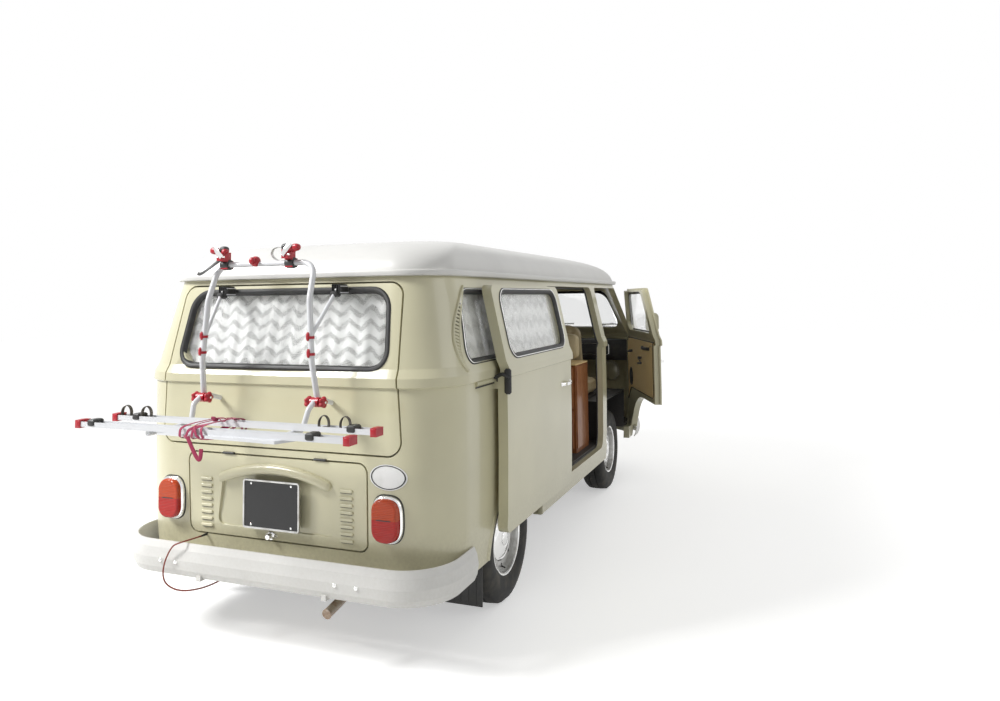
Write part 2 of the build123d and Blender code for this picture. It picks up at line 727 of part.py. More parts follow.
# Chassis: engine, gearbox, exhaust, axles and steering

ENGINE_HALF = 295
ENGINE_REAR = 285
ENGINE_FRONT = 640
ENGINE_BOTTOM = 270
ENGINE_TOP = 760
with BuildPart() as engine:
    with Locations((0, (ENGINE_REAR + ENGINE_FRONT) / 2, (ENGINE_BOTTOM + ENGINE_TOP) / 2)):
        Box(2 * ENGINE_HALF, ENGINE_FRONT - ENGINE_REAR, ENGINE_TOP - ENGINE_BOTTOM)
write(engine, "engine")

GEARBOX_Z = 355
GEARBOX_BELL = 190
GEARBOX_NECK = 125
GEARBOX_CASE = 100
GEARBOX_FRONT = 1250
BELL_LENGTH = 220
DRIVE_FLANGE_X = 120
DRIVE_FLANGE_RADIUS = 45
with BuildPart() as gearbox:
    with BuildSketch(Plane.XZ.offset(-ENGINE_FRONT)):
        with Locations((0, GEARBOX_Z)):
            Circle(GEARBOX_BELL)
    with BuildSketch(Plane.XZ.offset(-ENGINE_FRONT - BELL_LENGTH)):
        with Locations((0, GEARBOX_Z)):
            Circle(GEARBOX_NECK)
    loft(ruled=True)
    with BuildSketch(Plane.XZ.offset(-GEARBOX_FRONT)):
        with Locations((0, GEARBOX_Z)):
            Circle(GEARBOX_CASE)
    extrude(amount=GEARBOX_FRONT - ENGINE_FRONT - BELL_LENGTH)
    with BuildSketch(Plane.YZ.offset(-DRIVE_FLANGE_X)):
        with Locations((REAR_AXLE_Y, AXLE_Z)):
            Circle(DRIVE_FLANGE_RADIUS)
    extrude(amount=2 * DRIVE_FLANGE_X)
write(gearbox, "gearbox")

MUFFLER_RADIUS = 66
MUFFLER_Y = 205
MUFFLER_Z = 300
MUFFLER_HALF = 285
PIPE_RADIUS = 21
PIPE_X = 355
PIPE_BEND = 55
PIPE_Z = 290
PIPE_END_Y = -95
PIPE_END_Z = 262
with BuildPart() as exhaust:
    with BuildSketch(Plane.YZ.offset(-MUFFLER_HALF)):
        with Locations((MUFFLER_Y, MUFFLER_Z)):
            Circle(MUFFLER_RADIUS)
    extrude(amount=2 * MUFFLER_HALF)
    add(tube(((MUFFLER_HALF - 30, MUFFLER_Y, PIPE_Z), (PIPE_X, MUFFLER_Y, PIPE_Z), (PIPE_X, 60, PIPE_Z),
              (PIPE_X, PIPE_END_Y, PIPE_END_Z)), PIPE_RADIUS, PIPE_BEND))
    for side in (-1, 1):
        with Locations((side * 180, ENGINE_REAR - 15, MUFFLER_Z)):
            Box(40, 30, 60)
write(exhaust, "exhaust")

BEAM_Y = FRONT_AXLE_Y + 140
BEAM_LOW_Z = 213
BEAM_HIGH_Z = 303
BEAM_RADIUS = 28
BEAM_HALF = 440
ARM_THICK = 30
ARM_DEPTH = 40
EYE_LOW_Z = 265
EYE_HIGH_Z = 385
EYE_THICK = 20
EYE_WIDTH = 36
KINGPIN_RADIUS = 11
STEER_AXLE_Y = FRONT_AXLE_Y


def sloping_bar(x0, x1, y0, z0, y1, z1, depth):
    """A flat bar that runs from one place to another seen from the side, of even depth."""
    with BuildPart() as bar:
        with BuildSketch(Plane.YZ.offset(min(x0, x1))):
            with BuildLine():
                Polyline((y0, z0 - depth / 2), (y1, z1 - depth / 2), (y1, z1 + depth / 2), (y0, z0 + depth / 2),
                         close=True)
            make_face()
        extrude(amount=abs(x1 - x0))
    return bar.part


with BuildPart() as front_axle:
    with BuildSketch(Plane.YZ.offset(-BEAM_HALF)):
        with Locations((BEAM_Y, BEAM_LOW_Z), (BEAM_Y, BEAM_HIGH_Z)):
            Circle(BEAM_RADIUS)
    extrude(amount=2 * BEAM_HALF)
    for side in (-1, 1):
        with Locations((side * RAIL_X, BEAM_Y, (BEAM_LOW_Z - BEAM_RADIUS + SILL_Z) / 2)):
            Box(RAIL_WIDTH, 70, SILL_Z - BEAM_LOW_Z + BEAM_RADIUS)
        for beam_z, eye_z in ((BEAM_LOW_Z, EYE_LOW_Z), (BEAM_HIGH_Z, EYE_HIGH_Z)):
            add(sloping_bar(side * BEAM_HALF, side * (BEAM_HALF + ARM_THICK), BEAM_Y + 25, beam_z,
                            FRONT_AXLE_Y - EYE_WIDTH / 2, eye_z, ARM_DEPTH))
            with Locations((side * (BEAM_HALF + KINGPIN_X + EYE_WIDTH / 2) / 2, FRONT_AXLE_Y, eye_z)):
                Box(KINGPIN_X + EYE_WIDTH / 2 - BEAM_HALF, EYE_WIDTH, EYE_THICK)
        with BuildSketch(Plane.XY.offset(EYE_LOW_Z - EYE_THICK)):
            with Locations((side * KINGPIN_X, FRONT_AXLE_Y)):
                Circle(KINGPIN_RADIUS + RUNNING_GAP)
        extrude(amount=EYE_HIGH_Z - EYE_LOW_Z + 2 * EYE_THICK, mode=Mode.SUBTRACT)
write(front_axle, "front_axle")

STUB_RADIUS = 20
DRUM_RADIUS = 125
DRUM_WIDTH = 60
FRONT_WHEEL_X = FRONT_TRACK / 2
REAR_WHEEL_X = REAR_TRACK / 2
HUB_OUT = 40
BLOCK_GAP = 1


def stub_and_drum(side, wheel_x):
    """A brake drum with the stub axle that a wheel turns on."""
    with BuildPart() as hub:
        with BuildSketch(Plane.YZ.offset(side * (wheel_x - DRUM_WIDTH))):
            Circle(DRUM_RADIUS)
        extrude(amount=side * DRUM_WIDTH * 5 / 6)
        with BuildSketch(Plane.YZ.offset(side * (wheel_x - DRUM_WIDTH))):
            Circle(STUB_RADIUS)
        extrude(amount=side * (DRUM_WIDTH + HUB_OUT))
    return hub.part


def knuckle(side):
    """The front knuckle: kingpin, upright, drum and stub axle."""
    with BuildPart() as piece:
        with BuildSketch(Plane.XY.offset(EYE_LOW_Z - EYE_THICK / 2)):
            with Locations((side * KINGPIN_X, FRONT_AXLE_Y)):
                Circle(KINGPIN_RADIUS)
        extrude(amount=EYE_HIGH_Z - EYE_LOW_Z + EYE_THICK)
        low = EYE_LOW_Z + EYE_THICK / 2 + BLOCK_GAP
        high = EYE_HIGH_Z - EYE_THICK / 2 - BLOCK_GAP
        with Locations((side * KINGPIN_X, FRONT_AXLE_Y, (low + high) / 2)):
            Box(EYE_WIDTH, EYE_WIDTH, high - low)
        with Locations((side * (KINGPIN_X + FRONT_WHEEL_X - DRUM_WIDTH) / 2, FRONT_AXLE_Y, AXLE_Z)):
            Box(FRONT_WHEEL_X - DRUM_WIDTH - KINGPIN_X, EYE_WIDTH, EYE_WIDTH)
        add(stub_and_drum(side, FRONT_WHEEL_X).moved(Location((0, FRONT_AXLE_Y, AXLE_Z))))
    return piece


TORSION_Y = 1300
TORSION_Z = 290
TORSION_RADIUS = 42
TORSION_HALF = 560
HALFSHAFT_RADIUS = 14
with BuildPart() as rear_axle:
    with BuildSketch(Plane.YZ.offset(-TORSION_HALF)):
        with Locations((TORSION_Y, TORSION_Z)):
            Circle(TORSION_RADIUS)
    extrude(amount=2 * TORSION_HALF)
    with Locations((0, (GEARBOX_FRONT + TORSION_Y) / 2, TORSION_Z + 20)):
        Box(120, TORSION_Y - GEARBOX_FRONT, 50)
    for side in (-1, 1):
        with Locations((side * RAIL_X, TORSION_Y, (TORSION_Z + SILL_Z) / 2)):
            Box(RAIL_WIDTH, 60, SILL_Z - TORSION_Z)
        with BuildSketch(Plane.YZ.offset(side * DRIVE_FLANGE_X)):
            with Locations((REAR_AXLE_Y, AXLE_Z)):
                Circle(HALFSHAFT_RADIUS)
        extrude(amount=side * (REAR_WHEEL_X - DRUM_WIDTH - DRIVE_FLANGE_X))
        add(sloping_bar(side * 520, side * 555, TORSION_Y, TORSION_Z, REAR_AXLE_Y - 30, AXLE_Z, 60))
        with Locations((side * (520 + REAR_WHEEL_X - DRUM_WIDTH) / 2, REAR_AXLE_Y, AXLE_Z)):
            Box(REAR_WHEEL_X - DRUM_WIDTH - 520, 60, 60)
        add(stub_and_drum(side, REAR_WHEEL_X).moved(Location((0, REAR_AXLE_Y, AXLE_Z))))
write(rear_axle, "rear_axle")

# Wheels

RIM_SHEET = 6
DISC_X = 30
HUB_RADIUS = 85
SLOT_COUNT = 8
HUBCAP_RADIUS = 120
HUBCAP_RISE = 42


def rim(side, wheel_x):
    """A pressed steel rim with slots and a domed cap, bored for its stub axle."""
    with BuildPart() as piece:
        with BuildSketch(Plane.XZ):
            with BuildLine():
                half = RIM_WIDTH / 2
                inner = RIM_RADIUS - RIM_SHEET
                Polyline(
                    (-half, RIM_RADIUS + 8), (half, RIM_RADIUS + 8), (half, RIM_RADIUS - 4),
                    (half - 14, inner), (DISC_X + 14, inner), (DISC_X + 14, HUB_RADIUS + 20),
                    (DISC_X, HUB_RADIUS), (DISC_X, STUB_RADIUS + RUNNING_GAP),
                    (0, STUB_RADIUS + RUNNING_GAP), (0, HUB_RADIUS), (DISC_X, HUB_RADIUS + 26),
                    (DISC_X, inner - 10), (-half, inner - 4), close=True)
            make_face()
        revolve(axis=Axis.X)
        with BuildSketch(Plane.YZ):
            with PolarLocations((HUB_RADIUS + inner) / 2 + 12, SLOT_COUNT):
                SlotOverall(20, 12, rotation=90)
        extrude(amount=DISC_X + 60, mode=Mode.SUBTRACT)
        with BuildSketch(Plane.XZ):
            with BuildLine():
                Line((HUB_OUT + 2, 0), (DISC_X + HUBCAP_RISE, 0))
                ThreePointArc((DISC_X + HUBCAP_RISE, 0), (DISC_X + HUBCAP_RISE - 14, HUBCAP_RADIUS / 2 + 15),
                              (DISC_X + 13, HUBCAP_RADIUS))
                Line((DISC_X + 13, HUBCAP_RADIUS), (DISC_X + 2, HUBCAP_RADIUS - 6))
                Line((DISC_X + 2, HUBCAP_RADIUS - 6), (DISC_X + 2, HUB_RADIUS - 10))
                Line((DISC_X + 2, HUB_RADIUS - 10), (HUB_OUT + 2, STUB_RADIUS + 8))
                Line((HUB_OUT + 2, STUB_RADIUS + 8), (HUB_OUT + 2, 0))
            make_face()
        revolve(axis=Axis.X)
    turned = piece.part if side > 0 else piece.part.mirror(Plane.YZ)
    piece.part = turned.moved(Location((side * wheel_x, 0, 0)))
    return piece


def tyre(side, wheel_x):
    """A tyre of rounded section around its rim."""
    with BuildPart() as piece:
        with BuildSketch(Plane.XZ.offset(0)) as section:
            with BuildLine():
                half = TYRE_WIDTH / 2
                seat = RIM_RADIUS + 8
                Polyline((-RIM_WIDTH / 2, seat), (RIM_WIDTH / 2, seat), (half - 6, seat + 24),
                         (half, seat + 68), (half - 12, TYRE_RADIUS - 22), (half - 34, TYRE_RADIUS - 4),
                         (0, TYRE_RADIUS), (-half + 34, TYRE_RADIUS - 4), (-half + 12, TYRE_RADIUS - 22),
                         (-half, seat + 68), (-half + 6, seat + 24), close=True)
            make_face()
        revolve(axis=Axis.X)
    piece.part = piece.part.moved(Location((side * wheel_x, 0, 0)))
    return piece


def write_at(piece, name, y, z):
    """Move a wheel piece to its axle and write it."""
    piece.part = piece.part.moved(Location((0, y, z)))
    write(piece, name)


# name, side, distance of the wheel's middle from the van's, axle
WHEELS = (
    ("front_left", -1, FRONT_WHEEL_X, FRONT_AXLE_Y),
    ("front_right", 1, FRONT_WHEEL_X, FRONT_AXLE_Y),
    ("rear_left", -1, REAR_WHEEL_X, REAR_AXLE_Y),
    ("rear_right", 1, REAR_WHEEL_X, REAR_AXLE_Y),
)
for corner, side, wheel_x, axle_y in WHEELS:
    write_at(tyre(side, wheel_x), f"tyre_{corner}", axle_y, AXLE_Z)
    write_at(rim(side, wheel_x), f"rim_{corner}", axle_y, AXLE_Z)
write(knuckle(-1), "knuckle_left")
write(knuckle(1), "knuckle_right")

# Lamps


def lamp(x, z, width, height, corner, depth, y_back, y_front):
    """A pair of lamps on the skin, cut to the body's curve behind and rounded in front."""
    with BuildPart() as pair:
        for side in (-1, 1):
            with BuildSketch(Plane.XZ.offset(-y_back)):
                with Locations((side * x, z)):
                    RectangleRounded(width, height, corner)
            extrude(amount=y_back - y_front)
        rounded = pair.edges().filter_by(lambda edge: abs(edge.center().Y - y_front) < 0.5)
        fillet(rounded, depth)
        add(outer_form, mode=Mode.SUBTRACT)
    return pair


TAIL_LAMP_X = 595
TAIL_LAMP_Z = 652
tail_lamps = lamp(TAIL_LAMP_X, TAIL_LAMP_Z, 126, 184, 52, 12, 60, -34)
write(tail_lamps, "tail_lamps")

HEADLAMP_FIT = 0.3
with BuildPart() as head_lamps:
    for side in (-1, 1):
        with BuildSketch(Plane.XZ.offset(-FRONT_Y + 130)):
            with Locations((side * HEADLAMP_X, HEADLAMP_Z)):
                Circle(HEADLAMP_RADIUS - HEADLAMP_FIT)
        extrude(amount=-(130 - 4))
    front_rims = head_lamps.edges().filter_by(lambda edge: edge.center().Y > FRONT_Y - 10)
    fillet(front_rims, 14)

INDICATOR_X = 612
INDICATOR_Z = 600
with BuildPart() as indicators:
    for side in (-1, 1):
        with BuildSketch(Plane.XZ.offset(-FRONT_Y + 140)):
            with Locations((side * INDICATOR_X, INDICATOR_Z)):
                RectangleRounded(130, 62, 28)
        extrude(amount=-(140 + 6))
    add(outer_form, mode=Mode.SUBTRACT)
front_lamps = BuildPart()
front_lamps.part = head_lamps.part + indicators.part
write(front_lamps, "front_lamps")

GRILLE_PITCH = 12
with BuildPart() as air_grille:
    with BuildSketch(Plane.XZ.offset(-FRONT_Y + 120)):
        with Locations((0, 1134)):
            RectangleRounded(599, 75, 29)
            RectangleRounded(575, 51, 18, mode=Mode.SUBTRACT)
    extrude(amount=-200)
    for level in range(-2, 3):
        with Locations((0, FRONT_Y - 70, 1134 + level * GRILLE_PITCH)):
            Box(580, 14, 3)
    for step in range(-3, 4):
        with Locations((step * 76, FRONT_Y - 70, 1134)):
            Box(4, 10, 54)
    add(outer_form, mode=Mode.INTERSECT)
write(air_grille, "air_grille")

# Cab: seats, dashboard and steering wheel
SEAT_X = 445
SEAT_FLOOR = FLOOR_Z + FLOOR_THICK
TUB_TOP = FRONT_TUB[3]
SEAT_TOP = TUB_TOP + 14
with BuildPart() as seat_frames:
    for side in (-1, 1):
        with Locations((side * (225 + FRONT_TUB[0]) / 2, 3150, (SEAT_FLOOR + SEAT_TOP) / 2)):
            Box(FRONT_TUB[0] - 225, 500, SEAT_TOP - SEAT_FLOOR)
        with Locations((side * (225 + 680) / 2, 3150, (TUB_TOP + SEAT_TOP) / 2)):
            Box(680 - 225, 500, SEAT_TOP - TUB_TOP)


def slanted_block(x0, x1, y_low, z_low, y_high, z_high, depth, rounding):
    """A block across the van that leans back, such as a backrest."""
    with BuildPart() as block:
        with BuildSketch(Plane.YZ.offset(x0)):
            Polygon((y_low, z_low), (y_low + depth, z_low), (y_high + depth, z_high), (y_high, z_high), align=None)
        extrude(amount=x1 - x0)
        fillet(block.edges(), rounding)
    return block.part


SEAT_HALF = 235
SEAT_GAP = 0.4
SEAT_CUSHION = 115
with BuildPart() as cab_seats:
    for side in (-1, 1):
        low = side * SEAT_X - SEAT_HALF
        high = side * SEAT_X + SEAT_HALF
        with BuildSketch(Plane.XY.offset(SEAT_TOP + SEAT_GAP)) as base:
            with Locations((side * SEAT_X, 3190)):
                RectangleRounded(2 * SEAT_HALF, 480, 50)
        extrude(amount=SEAT_CUSHION)
        add(slanted_block(low, high, 2925, SEAT_TOP + SEAT_GAP + SEAT_CUSHION - 2, 2800, 1390, 95, 30))
    add(seat_frames.part)
write(cab_seats, "cab_seats")

DASH_REAR = 3905
DASH_BOTTOM = 1010
DASH_TOP = 1195
with BuildPart() as dashboard:
    with BuildSketch(Plane.YZ.offset(-WIDE)):
        with BuildLine():
            Polyline((DASH_REAR + 25, DASH_BOTTOM), (4100, DASH_BOTTOM), (4400, DASH_TOP), (DASH_REAR + 40, DASH_TOP))
            ThreePointArc((DASH_REAR + 40, DASH_TOP), (DASH_REAR, (DASH_BOTTOM + DASH_TOP) / 2),
                          (DASH_REAR + 25, DASH_BOTTOM))
        make_face()
    extrude(amount=2 * WIDE)
    add(cavity_form, mode=Mode.INTERSECT)
    add(box_between(-WIDE, WIDE, FRONT_Y - 135, FRONT_Y, 1085, 1185), mode=Mode.SUBTRACT)
write(dashboard, "dashboard")

STEERING_X = -SEAT_X
STEERING_Y = 3610
STEERING_Z = 1090
STEERING_RADIUS = 205
STEERING_TILT = 32
column_plane = Plane(origin=(STEERING_X, STEERING_Y, STEERING_Z),
                     z_dir=(0, -sin(radians(STEERING_TILT)), cos(radians(STEERING_TILT))), x_dir=(1, 0, 0))
with BuildPart() as steering_wheel:
    with BuildSketch(Plane(origin=column_plane.origin + column_plane.x_dir * STEERING_RADIUS,
                           x_dir=column_plane.x_dir, z_dir=column_plane.y_dir)) as rim_section:
        Circle(10)
    revolve(axis=Axis(column_plane.origin, column_plane.z_dir))
    with BuildSketch(column_plane.offset(-60)):
        Circle(28)
    extrude(amount=50)
    with BuildSketch(column_plane.offset(-14)):
        for turn in (0, 90):
            Rectangle(2 * STEERING_RADIUS, 16, rotation=turn)
    extrude(amount=8)
    with BuildSketch(column_plane.offset(-60)):
        Circle(14)
    extrude(amount=-(STEERING_Z - SEAT_FLOOR) / cos(radians(STEERING_TILT)))
    add(box_between(-WIDE, 0, 3000, FRONT_Y, 0, SEAT_FLOOR), mode=Mode.SUBTRACT)
write(steering_wheel, "steering_wheel")

# Living space: bench, bed, cupboards and curtains
BENCH_X0 = -790
BENCH_X1 = 560
BENCH_FRONT = 1890
BENCH_TOP = 800
BED_TOP = 1030
DECK_TOP = DECK_Z + DECK_THICK
CUPBOARD_SHEET = 16
CUPBOARDS = (
    # x low, x high, y low, y high, top
    (-800, -450, 1960, 2720, 1090),
    (150, 758, 2370, 2700, 1105),
)
with BuildPart() as furniture:
    with Locations(((BENCH_X0 + BENCH_X1) / 2, (BULKHEAD_Y + BENCH_FRONT) / 2, (SEAT_FLOOR + BENCH_TOP) / 2)):
        Box(BENCH_X1 - BENCH_X0, BENCH_FRONT - BULKHEAD_Y, BENCH_TOP - SEAT_FLOOR)
    with Locations(((BENCH_X0 + BENCH_X1) / 2, (BULKHEAD_Y + 20 + BENCH_FRONT) / 2, (SEAT_FLOOR + BENCH_TOP) / 2)):
        Box(BENCH_X1 - BENCH_X0 - 32, BENCH_FRONT - BULKHEAD_Y - 52, BENCH_TOP - SEAT_FLOOR - 32,
            mode=Mode.SUBTRACT)
    for x0, x1, y0, y1, top in CUPBOARDS:
        with Locations(((x0 + x1) / 2, (y0 + y1) / 2, (SEAT_FLOOR + top) / 2)):
            Box(x1 - x0, y1 - y0, top - SEAT_FLOOR)
            Box(x1 - x0 - 2 * CUPBOARD_SHEET, y1 - y0 - 2 * CUPBOARD_SHEET, top - SEAT_FLOOR - 2 * CUPBOARD_SHEET,
                mode=Mode.SUBTRACT)
write(furniture, "furniture")

with BuildPart() as bed_cushions:
    with Locations(((BENCH_X0 + BENCH_X1) / 2, (1440 + BENCH_FRONT) / 2, BENCH_TOP + SEAT_GAP + 60)):
        Box(BENCH_X1 - BENCH_X0 - 4, BENCH_FRONT - 1500, 120)
    fillet(bed_cushions.edges(), 25)
    add(slanted_block(BENCH_X0 + 2, BENCH_X1 - 2, BULKHEAD_Y + 8, BENCH_TOP + SEAT_GAP, BULKHEAD_Y - 14, 1330, 85, 25))
    with BuildSketch(Plane.XY.offset(DECK_TOP + SEAT_GAP)):
        with Locations((0, 700)):
            RectangleRounded(1380, 1150, 60)
    extrude(amount=BED_TOP - DECK_TOP)
    with BuildPart(mode=Mode.PRIVATE) as back_cushion:
        with Locations((455, 2590, CUPBOARDS[1][4] + SEAT_GAP + 115)):
            Box(570, 110, 230)
        fillet(back_cushion.edges(), 28)
    add(back_cushion.part)
write(bed_cushions, "bed_cushions")

CURTAIN_THICK = 8
curtain_front = body_form(WALL + 0.4)
curtain_back = body_form(WALL + 0.4 + CURTAIN_THICK)


def curtain(block):
    """A thin closed curtain that hangs against the inside of the wall."""
    with BuildPart() as cloth:
        add(curtain_front)
        add(curtain_back, mode=Mode.SUBTRACT)
        add(block, mode=Mode.INTERSECT)
    return cloth


def curtain_points(points):
    """A window's corner points grown a little, for the curtain behind it."""
    return inset_points(points, -22)


side_curtains = curtain(side_prism(curtain_points(QUARTER_WINDOW), 10, -WIDE, WIDE))
with BuildPart() as curtains:
    add(side_curtains.part)
    add(curtain(side_prism(curtain_points(MIDDLE_WINDOW), 10, -WIDE, 0)).part)
    add(curtain(side_prism(curtain_points(MIDDLE_WINDOW), 10, 0, WIDE)).part.moved(SLIDE_MOVE))
write(curtains, "side_curtains")
with BuildPart() as hatch_curtain:
    add(body_form(HATCH_THICK + 0.4))
    add(body_form(HATCH_THICK + 0.4 + CURTAIN_THICK), mode=Mode.SUBTRACT)
    add(end_prism(inset_points(HATCH_WINDOW, -8), 20, -200, REAR_SPLIT + 100), mode=Mode.INTERSECT)
write(hatch_curtain, "hatch_curtain")

# Bicycle carrier bolted to the tailgate
TUBE_RADIUS = 13
CARRIER_TOP_X = 268
CARRIER_LOW_X = 312
CARRIER_TOP_Z = 1765
ELBOW_Z = 1172
CARRIER_BEND = 70
# The side view of each upright, from the top bend down to the foot on the tailgate: y, z
UPRIGHT = ((-62, CARRIER_TOP_Z), (-118, 1600), (-128, 1330), (-105, ELBOW_Z))
FOOT_Z = 1130
RAIL_HALF = 672
RAIL_Z = 1058
RAIL_ROWS = (-232, -420)
CHANNEL_WIDTH = 46
CHANNEL_DEPTH = 22
CHANNEL_SHEET = 3
BOARD_THICK = 12
ARM_RADIUS = 12
CHANNEL_SEAT = 0.5


def upright_x(z):
    """How far out an upright stands at a height."""
    share = (CARRIER_TOP_Z - z) / (CARRIER_TOP_Z - ELBOW_Z)
    return CARRIER_TOP_X + (CARRIER_LOW_X - CARRIER_TOP_X) * share


with BuildPart() as carrier_frame:
    top_y = UPRIGHT[0][0]
    runs = [(-upright_x(z), y, z) for y, z in reversed(UPRIGHT)]
    runs += [(upright_x(z), y, z) for y, z in UPRIGHT]
    add(tube(runs, TUBE_RADIUS, CARRIER_BEND))
    for side in (-1, 1):
        # Arm down to the two wheel channels
        add(tube(((side * CARRIER_LOW_X, UPRIGHT[-1][0] + 6, ELBOW_Z + 4),
                  (side * CARRIER_LOW_X, UPRIGHT[-1][0] - 60, ELBOW_Z - 40),
                  (side * (CARRIER_LOW_X - 12), RAIL_ROWS[0] + 40, RAIL_Z - ARM_RADIUS + CHANNEL_SEAT),
                  (side * (CARRIER_LOW_X - 12), RAIL_ROWS[1] - 10, RAIL_Z - ARM_RADIUS + CHANNEL_SEAT)), ARM_RADIUS, 26))
        # Foot against the tailgate
        foot = tube(((side * CARRIER_LOW_X, UPRIGHT[-1][0], ELBOW_Z), (side * CARRIER_LOW_X, 30, FOOT_Z)), 11, 5)
        add(foot)
        # Flat stay up to the hook over the tailgate's top edge
        add(tube(((side * upright_x(1440), -122, 1440), (side * 322, 8, 1622), (side * 322, 60, 1640)), 9, 20))
        with Locations((side * 322, 54, 1642)):
            Box(46, 60, 34)
    add(outer_form, mode=Mode.SUBTRACT)
write(carrier_frame, "carrier_frame")

with BuildPart() as carrier_channels:
    for row in RAIL_ROWS:
        with BuildSketch(Plane.YZ.offset(-RAIL_HALF)):
            with Locations((row, RAIL_Z + CHANNEL_DEPTH / 2)):
                Rectangle(CHANNEL_WIDTH, CHANNEL_DEPTH)
            with Locations((row, RAIL_Z + CHANNEL_DEPTH / 2 + CHANNEL_SHEET)):
                Rectangle(CHANNEL_WIDTH - 2 * CHANNEL_SHEET, CHANNEL_DEPTH, mode=Mode.SUBTRACT)
        extrude(amount=2 * RAIL_HALF)
    with BuildSketch(Plane.XY.offset(RAIL_Z - BOARD_THICK)):
        with BuildLine():
            Polyline((-330, -330), (-240, -440), (380, -470), (450, -330), (-330, -330))
        make_face()
    extrude(amount=BOARD_THICK)
    add(carrier_frame.part, mode=Mode.SUBTRACT)
write(carrier_channels, "carrier_channels")

CLAMP_REACH = 46
with BuildPart() as carrier_clamps:
    for x in (-224, 140):
        with Locations((x, UPRIGHT[0][0], CARRIER_TOP_Z)):
            Box(40, 40, 40)
        with Locations((x, UPRIGHT[0][0] - 20, CARRIER_TOP_Z + 38)):
            Box(34, 56, 40)
    for side in (-1, 1):
        for row in RAIL_ROWS:
            with Locations((side * (RAIL_HALF + 14), row, RAIL_Z + CHANNEL_DEPTH / 2)):
                Box(28, CHANNEL_WIDTH + 8, CHANNEL_DEPTH + 12)
    add(carrier_frame.part, mode=Mode.SUBTRACT)
write(carrier_clamps, "carrier_clamps")

# Number plate, blank, on the engine lid
PLATE_X = 5
PLATE_Z = 668
PLATE_WIDTH = 306
PLATE_HEIGHT = 216
with BuildPart() as number_plate:
    with BuildSketch(Plane.XZ.offset(20)):
        with Locations((PLATE_X, PLATE_Z)):
            RectangleRounded(PLATE_WIDTH, PLATE_HEIGHT, 12)
    extrude(amount=4)
    with BuildSketch(Plane.XZ.offset(-RECESS_FLOOR_Y - 6)):
        with Locations((PLATE_X - 80, PLATE_Z), (PLATE_X + 80, PLATE_Z)):
            Rectangle(30, 60)
    extrude(amount=RECESS_FLOOR_Y + 26)
    add(engine_lid.part, mode=Mode.SUBTRACT)
write(number_plate, "number_plate")

# Mud flaps behind the rear wheels
FLAP_THICK = 6
with BuildPart() as mud_flaps:
    for side in (-1, 1):
        with Locations((side * 732, 440, (SILL_Z + 150) / 2)):
            Box(226, FLAP_THICK, SILL_Z - 150)
write(mud_flaps, "mud_flaps")

# Loose lead that hangs over the rear bumper and under it
LEAD_RADIUS = 3.5
LEAD_POINTS = (
    (-400, 24, 490), (-400, -30, 490), (-432, -122, 487), (-470, -124, 470), (-512, -124, 400),
    (-530, -120, 330), (-512, -112, 282), (-450, -85, 252), (-385, -10, 250), (-345, 80, 268),
    (-340, 140, 290), (-340, 140, 320),
)
lead = BuildPart()
lead.part = tube(LEAD_POINTS, LEAD_RADIUS, 12) - outer_form - rear_bumper.part
write(lead, "lead")
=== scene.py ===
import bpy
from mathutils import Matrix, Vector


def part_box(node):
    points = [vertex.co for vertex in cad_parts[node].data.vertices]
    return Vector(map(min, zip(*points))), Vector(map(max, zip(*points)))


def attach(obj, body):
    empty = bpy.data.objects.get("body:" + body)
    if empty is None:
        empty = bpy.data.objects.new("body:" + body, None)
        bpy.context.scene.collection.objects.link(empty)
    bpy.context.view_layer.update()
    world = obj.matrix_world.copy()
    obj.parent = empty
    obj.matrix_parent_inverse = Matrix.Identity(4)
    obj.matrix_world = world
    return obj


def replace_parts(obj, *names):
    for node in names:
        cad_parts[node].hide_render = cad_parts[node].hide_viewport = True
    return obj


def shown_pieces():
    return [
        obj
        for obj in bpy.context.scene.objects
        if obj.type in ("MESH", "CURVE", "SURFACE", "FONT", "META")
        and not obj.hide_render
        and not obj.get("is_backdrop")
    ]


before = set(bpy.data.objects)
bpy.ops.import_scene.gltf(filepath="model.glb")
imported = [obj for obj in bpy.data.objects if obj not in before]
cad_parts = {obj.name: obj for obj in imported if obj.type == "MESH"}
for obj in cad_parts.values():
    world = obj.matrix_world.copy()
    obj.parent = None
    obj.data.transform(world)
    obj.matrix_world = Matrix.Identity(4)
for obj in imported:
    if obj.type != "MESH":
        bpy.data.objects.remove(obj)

"""Looks of a rear-engined camper van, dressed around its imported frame.

New pieces are laid out in metres from the middle of the van's rear face, x to its right, y forwards and z up, and
shifted to the frame's own origin when their meshes are made. A swept profile's pairs are (across, outwards), a turned
profile's pairs are (distance along the axis, radius).
"""

import logging
import math
from collections.abc import Callable, Sequence
from dataclasses import dataclass
from enum import Enum
from functools import cache

import bmesh
import bpy
import numpy as np
from mathutils import Matrix

Array = np.ndarray
Point = tuple[float, float, float]
Pairs = Sequence[tuple[float, float]] | Array
Socket = bpy.types.NodeSocket
LOG = logging.getLogger("camper_van")
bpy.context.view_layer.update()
TURN = 2.0 * math.pi
UP, AFT = (0.0, 0.0, 1.0), (0.0, -1.0, 0.0)
REAR_AXLE, FRONT_AXLE = 0.900, 3.300
VAN_LENGTH, HALF_WIDTH = 4.280, 0.8825
SIDES = (-1, 1)
TWINS = ((-1, "left"), (1, "right"))
FLIP = np.array((-1.0, 1.0))


def van_origin() -> Array:
    """Find the middle of the van's rear face on the ground, from the rear tyres.

    Returns:
        The point in the frame's coordinates.
    """
    left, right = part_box("tyre_rear_left"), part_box("tyre_rear_right")
    return np.array(((left[0][0] + right[1][0]) / 2, (left[0][1] + left[1][1]) / 2 - REAR_AXLE, 0.0))


ORIGIN = van_origin()


# Meshes from arrays


